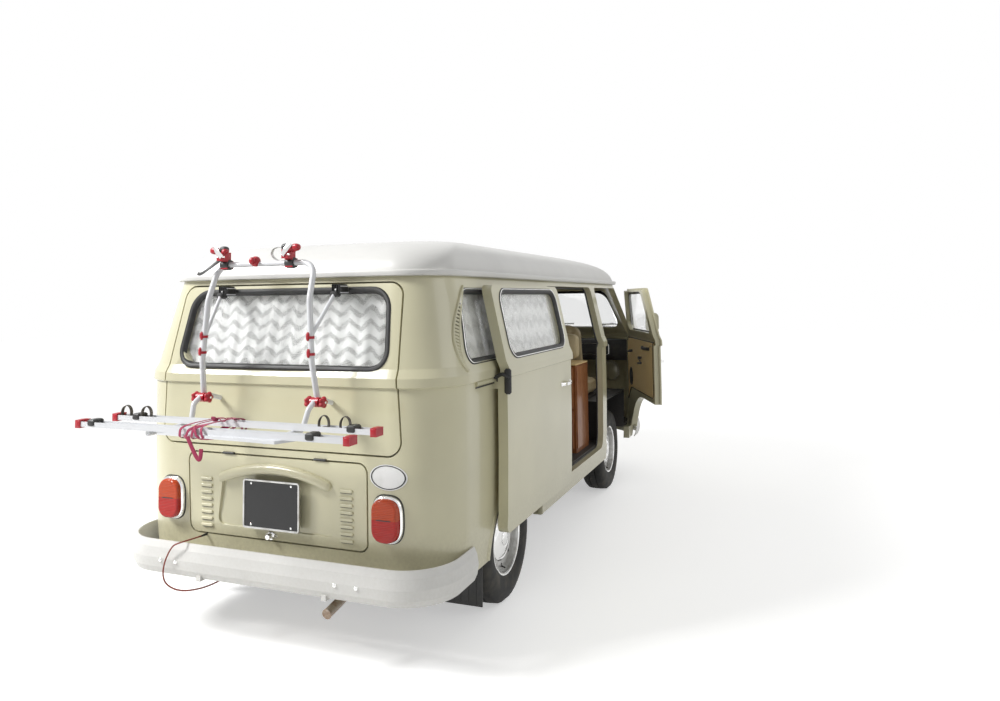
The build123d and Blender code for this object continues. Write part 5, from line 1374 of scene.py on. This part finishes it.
@dataclass
class Wheels:
    """Treaded tyres and bright caps.

    Attributes:
        corners: Name, side, distance from the middle plane and distance ahead of the rear face of each wheel.
        radius: The tyre's radius.
    """

    corners: tuple = (("front_left", -1, 0.692, FRONT_AXLE), ("front_right", 1, 0.692, FRONT_AXLE),
                      ("rear_left", -1, 0.713, REAR_AXLE), ("rear_right", 1, 0.713, REAR_AXLE))
    radius: float = 0.325

    def build(self) -> None:
        """Make each tyre with two grooves, its domed cap with a pressed ring, its rim's edge and its valve."""
        dome = np.array(((0.0435, 0.1205), (0.0470, 0.1195), (0.0500, 0.1130), (0.0530, 0.1080), (0.0505, 0.1030),
                         (0.0560, 0.0950), (0.0600, 0.0800), (0.0640, 0.0620), (0.0680, 0.0440), (0.0650, 0.0400),
                         (0.0700, 0.0340), (0.0745, 0.0180), (0.0755, 0.0002)))
        edge = np.array(((0.0700, 0.1838), (0.0765, 0.1880), (0.0795, 0.1862), (0.0775, 0.1790), (0.0700, 0.1760),
                         (0.0640, 0.1760)))
        half = np.array(((0.075, 0.186), (0.088, 0.212), (0.094, 0.254), (0.083, 0.302), (0.062, 0.3205),
                         (0.034, 0.3230), (0.030, 0.3165), (0.025, 0.3165), (0.021, 0.3240)))
        section = np.vstack((half, half[::-1] * FLIP))
        for name, side, x, y in self.corners:
            body, hub, way = f"wheel_{name}", (side * x, y, self.radius), np.array((side, 1.0))
            tyre = piece(f"tread_{name}", turned(section, hub, 0, 40, closed=True), Finish.TREAD, body, 50)
            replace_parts(tyre, f"tyre_{name}")
            piece(f"wheel_cap_{name}", turned(dome * way, hub, 0, 64), Finish.CHROME, body, 50)
            piece(f"rim_edge_{name}", turned(edge * way, hub, 0, 72), Finish.CHROME, body, 50)
            stem = np.array(hub) + np.array(((side * 0.040, 0.0, -0.150), (side * 0.066, 0.0, -0.158)))
            piece(f"valve_{name}", swept(stem, circle(0.0042, 10), UP), Finish.RUBBER, body)


class Nose:
    """Lamps, windscreen seal, wipers, grille and bumper bolts of the front."""

    def build(self) -> None:
        """Dress the nose."""
        screen = rounded_loop(((-0.748, 1.304), (0.748, 1.304), (0.650, 1.652), (-0.650, 1.652)), 0.100, 10, 18)
        window_seal("windscreen", SHAPE.on_front, screen[::-1])
        self.lamps()
        self.wipers()
        grille = rounded_loop(rectangle(-0.300, 1.0965, 0.300, 1.1715), 0.036, 8, 8)
        rim = ((-0.004, -0.006), (-0.004, 0.002), (0.0, 0.0055), (0.006, 0.004), (0.009, 0.0), (0.0, -0.001))
        piece("grille_rim", laid(SHAPE.on_front, grille[::-1], rim, closed=True), Finish.CREAM, angle=50)
        heads = [turned(BOLT * FLIP, (x, 4.3155, 0.400), 1, 20) for x in (-0.520, -0.400, 0.400, 0.520)]
        piece("front_bumper_bolts", heads, Finish.CHROME)

    def lamps(self) -> None:
        """A bright rim, a bucket and a domed lens for each head lamp, then a bright frame round each indicator."""
        rim = ((-0.020, 0.0945), (-0.004, 0.1010), (0.008, 0.0995), (0.014, 0.0935), (0.012, 0.0875), (0.006, 0.0860),
               (0.004, 0.0900), (-0.020, 0.0915))
        bucket = ((-0.126, 0.0003), (-0.126, 0.070), (-0.112, 0.090), (-0.070, 0.0960), (-0.040, 0.0970))
        dome = np.linspace(0, 1, 12)
        lens = np.column_stack((0.0125 + 0.0085 * (1 - dome**2), 0.0862 * dome + 0.0002))
        ring = ((-0.005, -0.002), (-0.005, 0.004), (-0.001, 0.0065), (0.003, 0.004), (0.004, -0.002))
        for side, suffix in TWINS:
            middle = (side * 0.590, VAN_LENGTH - 0.008, 0.890)
            piece(f"head_lamp_rim_{suffix}", turned(rim, middle, 1, 64, closed=True), Finish.CHROME, angle=50)
            piece(f"head_lamp_bucket_{suffix}", turned(bucket, middle, 1, 48), Finish.CREAM)
            piece(f"head_lamp_lens_{suffix}", turned(lens, middle, 1, 56), Finish.CLEAR_LENS)
        for side, suffix in TWINS:
            outline = oval(0.068, 0.034, 3.4, 48) + np.array((side * 0.612, 0.600))
            piece(f"indicator_ring_{suffix}", laid(SHAPE.on_front, outline[::-1], ring, closed=True), Finish.CHROME,
                  angle=60)

    def wipers(self) -> None:
        """Two wipers that rest along the windscreen's lower edge."""
        levers, blades = [], []
        for x in (-0.250, 0.330):
            line = np.column_stack((np.linspace(x, x + 0.300, 12), 1.268 + 0.064 * np.linspace(0, 1, 12) ** 0.8))
            points, normals = SHAPE.on_front(line, 0.016)
            levers.append(swept(points, oval(0.0055, 0.0026, 3.0, 10), normals))
            levers.append(swept(spoke(points[0], normals[0], -0.020, 0.008), circle(0.012, 18), (1.0, 0.0, 0.0)))
            blade = np.column_stack((np.linspace(x + 0.110, x + 0.490, 14), 1.327 + 0.008 * np.linspace(0, 1, 14)))
            blades.append(laid(SHAPE.on_front, blade, oval(0.0032, 0.0075, 2.5, 10), 0.006))
        piece("wiper_arms", levers, Finish.CHASSIS)
        piece("wiper_blades", blades, Finish.RUBBER)


# Cabin


@dataclass
class Curtains:
    """Gathered lace curtains behind the windows.

    Attributes:
        wave: Length of one fold along the window.
    """

    wave: float = 0.075

    def build(self) -> None:
        """Make a curtain for each curtained window, in place of its CAD sheet."""
        rear = self.gathered(-0.562, 0.562, 1.292, 1.636, SHAPE.on_rear, 0.0425, 0.052)
        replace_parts(self.hang("rear", rear, Finish.LACE, "hatch"), "hatch_curtain")
        sides = [self.hang(f"{name}_{suffix}", turn(self.gathered(low, high, 1.296, 1.640, SHAPE.on_side, 0.0560)),
                           Finish.SIDE_LACE, "body")
                 for name, low, high, way in (("quarter", 0.290, 1.440, as_is), ("middle", 1.745, 2.635, slid))
                 for suffix, turn in (("left", Form.mirrored), ("right", way))]
        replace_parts(sides[0], "side_curtains")
        self.rods()

    def gathered(self, low: float, high: float, bottom: float, top: float, place: Place, depth: float,
                 flare: float = 0.0) -> Form:
        """A curtain with folds: its depth is a sine of its run, deeper and wandering lower down.

        Args:
            low: Where it starts along the window.
            high: Where it ends.
            bottom: Height of its hem.
            top: Height of its rod.
            place: The function that carries points onto the skin.
            depth: Middle of its folds, in from the skin.
            flare: How much wider its hem runs than its rod, as a share.

        Returns:
            One sheet, with its UV in metres of cloth.
        """
        steps, rows = int((high - low) / self.wave * 14), 24
        s, t = np.linspace(0, 1, steps)[:, None], np.linspace(0, 1, rows)[None, :]
        run = (low + (high - low) * s) * (1 + flare * t)
        z = top + (bottom - top) * t + np.zeros_like(s)
        phase = run / self.wave * TURN + 0.9 * np.sin(run * 9.1) + 0.5 * np.sin(3.1 * t + run * 14.0)
        fold = (0.0030 + 0.0022 * t) * np.sin(phase) + 0.0007 * np.sin(2.3 * phase + 1.0)
        points, normals = place(np.stack((run.ravel(), z.ravel()), -1))
        grid = (points - normals * (depth + fold.ravel())[:, None]).reshape(steps, rows, 3)
        step = np.linalg.norm(np.diff(grid, axis=0), axis=2).mean(1)
        width = np.concatenate(((0.0,), np.cumsum(step)))[:, None] + np.zeros_like(t)
        form = grid_form(grid)
        form.uv = np.stack((width.ravel(), (top - z).ravel()), -1)
        return form

    def hang(self, name: str, form: Form, finish: Finish, body: str) -> bpy.types.Object:
        made = piece(f"lace_{name}", form, finish, body)
        return made

    def rods(self) -> None:
        """Thin rods that carry the curtains."""
        section = circle(0.0032, 10)
        quarter, middle = (laid(SHAPE.on_side, level(low, high, 16, 1.643), section, -0.0560)
                           for low, high in ((0.270, 1.460), (1.725, 2.655)))
        piece("curtain_rods", [quarter.mirrored(), middle.mirrored(), quarter, slid(middle)], Finish.CHROME)
        rear = laid(SHAPE.on_rear, level(-0.575, 0.575, 24, 1.638), section, -0.0430)
        piece("curtain_rod_rear", rear, Finish.CHROME, "hatch")


class Cabin:
    """Seats, bed, cupboards, dashboard and steering wheel."""

    def build(self) -> None:
        """Dress the cabin."""
        self.cab_seats()
        self.bed()
        self.joinery()
        self.wheel()
        self.dash()
        Curtains().build()

    def stuffed(self, name: str, centre: Point, half: Point, finish: Finish, lean: float = 0.0,
                channels: int = 0) -> bpy.types.Object:
        """A cushion blown up as cloth from a slightly smaller pad.

        Args:
            name: Its name.
            centre: Its middle.
            half: Half its size.
            finish: Its finish.
            lean: How many degrees its top leans back.
            channels: Sewn channels across its face, or 0.

        Returns:
            The piece.
        """
        slack, cap = 0.010, 0.016
        c, s = math.cos(math.radians(lean)), math.sin(math.radians(lean))
        matrix = np.array(((1, 0, 0), (0, c, -s), (0, s, c)))
        pad = pillow((0.0, 0.0, 0.0), np.array(half) - slack, 6.0, 0.06, 30)
        made = piece(name, Form(pad.points @ matrix.T + np.array(centre), pad.faces), finish)
        self.inflate(made, cap)
        if channels:
            self.channel(made, np.array(centre), np.array(half), matrix, channels)
        return made

    def inflate(self, pad: bpy.types.Object, cap: float) -> None:
        """Remesh a pad, let pressure swell it as cloth, cap how far each point moves and smooth it once.

        Args:
            pad: The pad.
            cap: The furthest that a point may move.
        """
        remesh = pad.modifiers.new("even_mesh", "REMESH")
        remesh.mode = "VOXEL"
        fine, coarse, long_side = 0.012, 0.018, 1.0
        remesh.voxel_size = coarse if max(pad.dimensions) > long_side else fine
        self.apply(pad)
        start = read_points(pad.data)
        cloth = pad.modifiers.new("stuffing", "CLOTH")
        settings, last = cloth.settings, 20
        settings.quality, settings.use_pressure, settings.uniform_pressure_force = 4, True, 4.0
        settings.effector_weights.gravity = 0.0
        settings.tension_stiffness, settings.bending_stiffness = 20.0, 3.0
        cloth.point_cache.frame_start, cloth.point_cache.frame_end = 1, last
        for step in range(1, last + 1):
            bpy.context.scene.frame_set(step)
        self.apply(pad)
        bpy.context.scene.frame_set(1)
        move = read_points(pad.data) - start
        far = np.linalg.norm(move, axis=1, keepdims=True)
        write_points(pad.data, start + move * np.minimum(1.0, cap / np.maximum(far, 1e-9)))
        soft = pad.modifiers.new("soft_edges", "SUBSURF")
        soft.levels = soft.render_levels = 1
        smooth(pad.data)

    def apply(self, pad: bpy.types.Object) -> None:
        """Bake a pad's modifiers into its mesh."""
        depsgraph = bpy.context.evaluated_depsgraph_get()
        baked = bpy.data.meshes.new_from_object(pad.evaluated_get(depsgraph))
        old = pad.data
        materials = list(old.materials)
        pad.modifiers.clear()
        pad.data = baked
        if not baked.materials:
            for material in materials:
                baked.materials.append(material)
        bpy.data.meshes.remove(old)

    def channel(self, pad: bpy.types.Object, centre: Array, half: Array, matrix: Array, count: int) -> None:
        """Press sewn channels into a pad: each point moves in by a narrow bell curve of its distance to a seam.

        Args:
            pad: The pad.
            centre: Its middle.
            half: Half its size.
            matrix: Its lean.
            count: How many channels lie between its seams.
        """
        local = (read_points(pad.data) - ORIGIN - centre) @ matrix
        thin = int(np.argmin(half))
        seams = np.linspace(-half[0], half[0], count + 1)[1:-1]
        gap = np.abs(local[:, :1] - seams[None]).min(1)
        depth, width = 0.011, 0.014
        local[:, thin] -= np.sign(local[:, thin]) * depth * np.exp(-((gap / width) ** 2))
        write_points(pad.data, local @ matrix.T + centre + ORIGIN)

    def cab_seats(self) -> None:
        """Two cab seats with channelled and piped cushions and backrests on their frames."""
        frames = []
        for side, suffix in TWINS:
            seat = (side * 0.445, 3.190, 0.851)
            for far, low, high, radius in ((0.3945, 0.4705, 0.774, 0.010), (0.6795, 0.7725, 0.7855, 0.005)):
                left, right = sorted((side * 0.2255, side * far))
                frames.append(block((left, 2.9015, low), (right, 3.3985, high), 4, radius))
            self.stuffed(f"cab_cushion_{suffix}", seat, (0.240, 0.250, 0.066), Finish.SEAT, channels=6)
            self.stuffed(f"cab_backrest_{suffix}", (seat[0], 2.912, 1.146), (0.238, 0.056, 0.262), Finish.SEAT,
                         14.0, 6)
            loop = np.column_stack((oval(0.236, 0.246, 7.0, 72), np.full(72, 0.045))) + np.array(seat)
            piece(f"cab_piping_{suffix}", swept(loop, circle(0.0042, 8), UP, closed=True), Finish.SEAT)
        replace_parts(piece("cab_seat_frames", frames, Finish.CHASSIS, angle=35), "cab_seats")

    def bed(self) -> None:
        """The bench's cushion and backrest, the mattress over the engine and the cushion by the door."""
        cushion = self.stuffed("bench_cushion", (-0.115, 1.668, 0.8605), (0.672, 0.196, 0.060), Finish.BLANKET)
        self.stuffed("bench_backrest", (-0.115, 1.390, 1.066), (0.672, 0.044, 0.266), Finish.BLANKET, 2.5)
        self.stuffed("mattress", (0.0, 0.700, 0.972), (0.690, 0.575, 0.059), Finish.BLANKET)
        self.stuffed("door_cushion", (0.455, 2.590, 1.2205), (0.285, 0.057, 0.116), Finish.SEAT)
        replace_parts(cushion, "bed_cushions")

    def joinery(self) -> None:
        """Door and drawer fronts with round pulls, the bench's front, a side panel and the cupboards' tops."""
        far, near = (-0.800, -0.450, 1.960, 2.720, 1.090), (0.150, 0.758, 2.370, 2.700, 1.105)
        fronts, pulls = [], []
        for low, high in ((0.500, 0.770), (0.786, 1.085)):
            fronts.append(block((0.168, 2.358, low), (0.740, 2.372, high), 3, 0.003))
            pulls.append(turned(PULL * FLIP, (0.454, 2.359, high - 0.050), 1, 24))
        fronts.append(block((0.757, 2.386, 0.500), (0.7655, 2.684, 1.088), 3, 0.002))
        for low, high in ((1.976, 2.330), (2.346, 2.704)):
            fronts.append(block((-0.452, low, 0.500), (-0.438, high, 1.070), 3, 0.003))
            pulls.append(turned(PULL, (-0.439, high - 0.050, 0.980), 0, 24))
        for low, high in ((-0.770, -0.330), (-0.310, 0.130), (0.150, 0.540)):
            fronts.append(block((low, 1.888, 0.490), (high, 1.900, 0.780), 3, 0.003))
            pulls.append(turned(PULL, ((low + high) / 2, 1.899, 0.735), 1, 24))
        tops = [block((x0 - 0.004, y0 - 0.004, top - 0.003), (x1 + 0.004, y1 + 0.004, top + 0.0003), 4, 0.006)
                for x0, x1, y0, y1, top in (far, near)]
        piece("cupboard_fronts", fronts, Finish.WOOD, angle=35)
        piece("cupboard_pulls", pulls, Finish.CHROME)
        piece("cupboard_tops", tops, Finish.CARD, angle=35)

    def wheel(self) -> None:
        """The steering wheel's horn button and ring."""
        tilt, centre = math.radians(32), np.array((-0.445, 3.610, 1.090))
        up = np.array((0.0, -math.sin(tilt), math.cos(tilt)))
        button = np.array(((-0.012, 0.034), (0.004, 0.036), (0.012, 0.030), (0.017, 0.016), (0.018, 0.0003)))
        points = centre + up * button[None, :, :1] + spokes(40, up)[:, None] * button[None, :, 1:]
        path = centre - up * 0.010 + spokes(56, up) * 0.118
        piece("horn_button", grid_form(points, closed_u=True), Finish.PLASTIC)
        piece("horn_ring", swept(path, circle(0.0035, 8), up, closed=True), Finish.CHROME)

    def dash(self) -> None:
        """Two round gauges, a switch row and the glove box's edge on the dashboard."""
        rim = ((0.004, 0.050), (-0.010, 0.053), (-0.013, 0.048), (-0.006, 0.044), (0.002, 0.044))
        face = ((-0.0045, 0.045), (-0.0050, 0.020), (-0.0085, 0.008), (-0.0090, 0.0003))
        knob = ((0.004, 0.008), (-0.016, 0.009), (-0.020, 0.006), (-0.021, 0.0003))
        gauges = (-0.515, -0.375)
        bits = [swept(np.array(((x, 3.9015, 1.108), (x + 0.024, 3.9015, 1.128))), oval(0.0016, 0.0008, 3.0, 6), AFT)
                for x in gauges]
        bits += [turned(knob, (x, 3.906, 1.090), 1, 20) for x in (-0.240, -0.200, -0.160, 0.050, 0.090)]
        piece("gauge_rims", [turned(rim, (x, 3.907, 1.108), 1, 48, closed=True) for x in gauges], Finish.CHROME)
        piece("gauge_faces", [turned(face, (x, 3.907, 1.108), 1, 48) for x in gauges], Finish.PLATE)
        piece("dash_knobs", bits, Finish.BADGE)
        loop = rounded_loop(rectangle(0.220, 1.060, 0.640, 1.160), 0.020, 6, 6)
        path = np.column_stack((loop[:, 0], np.full(len(loop), 3.906), loop[:, 1]))
        piece("glove_box_edge", swept(path, oval(0.003, 0.0035, 2.5, 8), AFT, closed=True), Finish.CHROME)


def read_points(mesh: bpy.types.Mesh) -> Array:
    """Read a mesh's points, one row each."""
    points = np.empty(len(mesh.vertices) * 3)
    mesh.vertices.foreach_get("co", points)
    return points.reshape(-1, 3)


def write_points(mesh: bpy.types.Mesh, points: Array) -> None:
    """Write a mesh's points."""
    mesh.vertices.foreach_set("co", points.ravel())
    mesh.update()


def spokes(steps: int, axis: Array) -> Array:
    """Unit directions round an axis that has no part along x."""
    c, s = round_steps(steps)
    across = np.array((1.0, 0.0, 0.0))
    return c[:, None] * across + s[:, None] * np.cross(axis, across)


# Doors and underside


@dataclass
class DoorTrim:
    """Inner trim of the cab doors and of the sliding door, the sliding doorway's seal and a cab doorway's latch.

    Attributes:
        inner: How far in from the skin a door's inner face lies.
    """

    inner: float = 0.0505

    def build(self) -> None:
        """Make both cab doors' trim, the sliding doorway's seal, the slid door's trim and a latch plate."""
        for suffix, turn in (("left", Form.mirrored), ("right", opened)):
            for name, form, finish, angle in self.card():
                piece(f"{name}_{suffix}", turn(form), finish, f"cab_door_{suffix}", angle)
        doorway = rounded_loop(rectangle(1.637, 0.450, 2.743, 1.668), 0.060, 9, 26)
        bead = laid(SHAPE.on_side, doorway, oval(0.0065, 0.0065, 2.2, 10), -0.047, closed=True)
        piece("sliding_doorway_seal", bead, Finish.RUBBER)
        self.slider()
        latch = block((0.8380, 2.8600, 0.930), (0.8640, 2.8658, 1.000), 4, 0.002)
        pin = ((-0.002, 0.0075), (0.0008, 0.0075), (0.0016, 0.006), (0.0016, 0.0003))
        piece("latch_plate", [latch, turned(pin, (0.851, 2.8654, 0.966), 1, 18)], Finish.CHROME)

    def card(self) -> list[tuple[str, Form, Finish, float]]:
        """A cab door's card within its inner outline, the card's edge, its speaker, crank and pull."""
        corners = ((2.905, 0.792), (3.722, 0.792), (3.842, 0.660), (3.842, 1.235), (2.905, 1.235))
        loop, middle, side = rounded_loop(corners, 0.040, 7, 8), np.array((3.560, 1.020)), SHAPE.on_side
        card = patch(loop, middle, (0.0, 0.3, 0.6, 0.85, 0.965, 1.0), side, -self.inner,
                     (0.0045, 0.0045, 0.0045, 0.0042, 0.0035, 0.0))
        edge = laid(side, middle + (loop - middle) * 0.985, oval(0.0035, 0.0028, 2.5, 8), -self.inner - 0.003, True)
        centre = np.array((3.690, 0.895))
        mesh = patch(oval(0.050, 0.068, 2.0, 56) + centre, centre, (0.0, 0.5, 1.0), side, -self.inner - 0.0062)
        ring = laid(side, oval(0.055, 0.073, 2.0, 48) + centre, oval(0.0055, 0.0042, 2.5, 10), -self.inner - 0.006,
                    True)
        roots, normals = side(np.array(((3.300, 1.085), (3.640, 1.120))), -self.inner - 0.004)
        crank = []
        for root, away, length, fall in zip(roots, normals, (0.105, 0.060), (-0.35, 0.0)):
            way = np.array((0.0, -length * math.cos(fall), length * math.sin(fall)))
            arm = spoke(root - away * 0.027, way, 0, 1, 6)
            crank += [swept(spoke(root, -away, 0.0, 0.030), circle(0.0105, 20), UP),
                      swept(arm, oval(0.0055, 0.0035, 2.6, 12), away),
                      swept(spoke(arm[-1], -away, -0.004, 0.030), circle(0.0085, 16), UP)]
        points, normals = side(level(3.010, 3.230, 16, 1.175), -self.inner)
        lift = 0.034 * np.sin(np.linspace(0, math.pi, 16)) ** 0.4
        pull = swept(points - normals * lift[:, None], oval(0.013, 0.0045, 2.6, 12), normals)
        return [("door_card", card, Finish.CARD, 50), ("door_card_edge", edge, Finish.RUBBER, 40),
                ("speaker", joined([mesh, ring]), Finish.PLASTIC, 40),
                ("door_crank", joined(crank), Finish.PLASTIC, 40), ("door_pull", pull, Finish.PLASTIC, 40)]

    def slider(self) -> None:
        """The slid door's inner card, and the bracket and roller that run in the rail under the quarter window."""
        loop = rounded_loop(rectangle(1.700, 0.520, 2.680, 1.240), 0.050, 8, 10)
        card = patch(loop, loop.mean(0), (0.0, 0.3, 0.6, 0.9, 0.985, 1.0), SHAPE.on_side, -self.inner,
                     (0.0045, 0.0045, 0.0045, 0.0045, 0.0035, 0.0))
        piece("sliding_door_card", slid(card), Finish.CARD, angle=50)
        share = np.linspace(0, 1, 14)
        arc = np.column_stack((0.9560 - 0.070 * share, 0.5420 - 0.004 * np.sin(share * math.pi) + 0.010 * share,
                               1.206 + 0.018 * np.sin(share * math.pi)))
        roller = ((-0.010, 0.0003), (-0.010, 0.015), (0.010, 0.015), (0.010, 0.0003))
        parts = [swept(arc, oval(0.026, 0.0085, 2.8, 14), UP),
                 block((0.9300, 0.5295, 1.128), (0.9655, 0.5500, 1.252), 4, 0.009),
                 turned(roller, (0.8930, 0.5640, 1.196), 2, 28)]
        piece("slider_arm", parts, Finish.CHASSIS, angle=45)


class Underside:
    """Trim of the exhaust and the engine, swages under the floor and ribs on the mud flaps."""

    def build(self) -> None:
        """Dress the underside."""
        self.exhaust()
        self.engine()
        swages = [block((-0.760, y, 0.4345), (0.760, y + 0.060, 0.4405), 4, 0.010)
                  for y in np.arange(1.480, 2.800, 0.190)]
        piece("floor_swages", swages, Finish.CHASSIS, angle=35)
        ribs = []
        for x in (-0.732, 0.732):
            ribs.append(block((x - 0.108, 0.4335, 0.318), (x + 0.108, 0.4375, 0.338), 3, 0.002))
            ribs += [block((x + step - 0.003, 0.4345, 0.160), (x + step + 0.003, 0.4375, 0.300), 3, 0.001)
                     for step in np.linspace(-0.08, 0.08, 5)]
        piece("mud_flap_ribs", ribs, Finish.RUBBER, angle=35)

    def exhaust(self) -> None:
        """Bands round the silencer, and a rolled lip round a black disc at the tailpipe's end, for the bore's soot and
        painted shade.
        """
        band = ((-0.009, 0.0655), (-0.009, 0.0685), (0.009, 0.0685), (0.009, 0.0655))
        bands = [turned(band, (x, 0.205, 0.300), 0, 48, closed=True) for x in (-0.281, -0.200, 0.200, 0.281)]
        piece("silencer_bands", bands, Finish.IRON)
        tilt, middle = math.atan2(0.028, 0.155), np.array((0.355, -0.093, 0.2625))
        away = np.array((0.0, -math.cos(tilt), -math.sin(tilt)))
        ring = spokes(40, -away)
        lip = swept(middle + ring * 0.0205, circle(0.0022, 8), away, closed=True)
        # A black disc just inside the pipe's end: the bore's soot and painted shade.
        dark = middle - away * 0.0035 + ring[None] * np.array((0.0003, 0.0180))[:, None, None]
        piece("tailpipe_lip", lip, Finish.PIPE)
        piece("tailpipe_soot_shade", grid_form(dark, closed_v=True), Finish.PLASTIC)

    def engine(self) -> None:
        """Cooling ribs, two pulleys and their belt on the engine's rear face."""
        ribs = [block((-0.290, 0.2790, z), (0.290, 0.2860, z + 0.006), 3, 0.002)
                for z in np.arange(0.300, 0.470, 0.020)]
        piece("engine_ribs", ribs, Finish.IRON, angle=35)
        wheel = np.array(((0.0, 0.0003), (-0.020, 0.020), (-0.020, 0.066), (-0.010, 0.060), (-0.004, 0.060),
                          (0.006, 0.068), (0.010, 0.0003)))
        pulleys = [turned(wheel, (0.0, 0.270, 0.420), 1, 40),
                   turned(wheel * np.array((1.0, 0.72)), (0.090, 0.270, 0.640), 1, 40)]
        piece("engine_pulleys", pulleys, Finish.SILVER)
        arcs = []
        for x, z, radius, start in ((0.0, 0.420, 0.063, 200), (0.090, 0.640, 0.046, -22)):
            angle = np.radians(start + np.linspace(0, 165, 16))
            arcs.append(np.column_stack((x + radius * np.cos(angle), np.full(16, 0.263), z + radius * np.sin(angle))))
        belt = swept(np.vstack(arcs), oval(0.0045, 0.006, 3.0, 8), (0.0, 1.0, 0.0), closed=True)
        piece("engine_belt", belt, Finish.RUBBER)


def main() -> None:
    """Build the van's looks in order, and log every piece."""
    logging.basicConfig(level=logging.INFO, format="%(message)s")
    for finish, nodes in CAD_FINISHES.items():
        dress(finish, *nodes.split())
    for part in (Stage, BodyShell, Tail, Carrier, Wheels, Nose, Cabin, DoorTrim, Underside, Lead):
        part().build()
    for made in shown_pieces():
        LOG.info("%s: %s faces", made.name, len(made.data.polygons) if made.type == "MESH" else "curve")


if __name__ == "__main__":
    main()
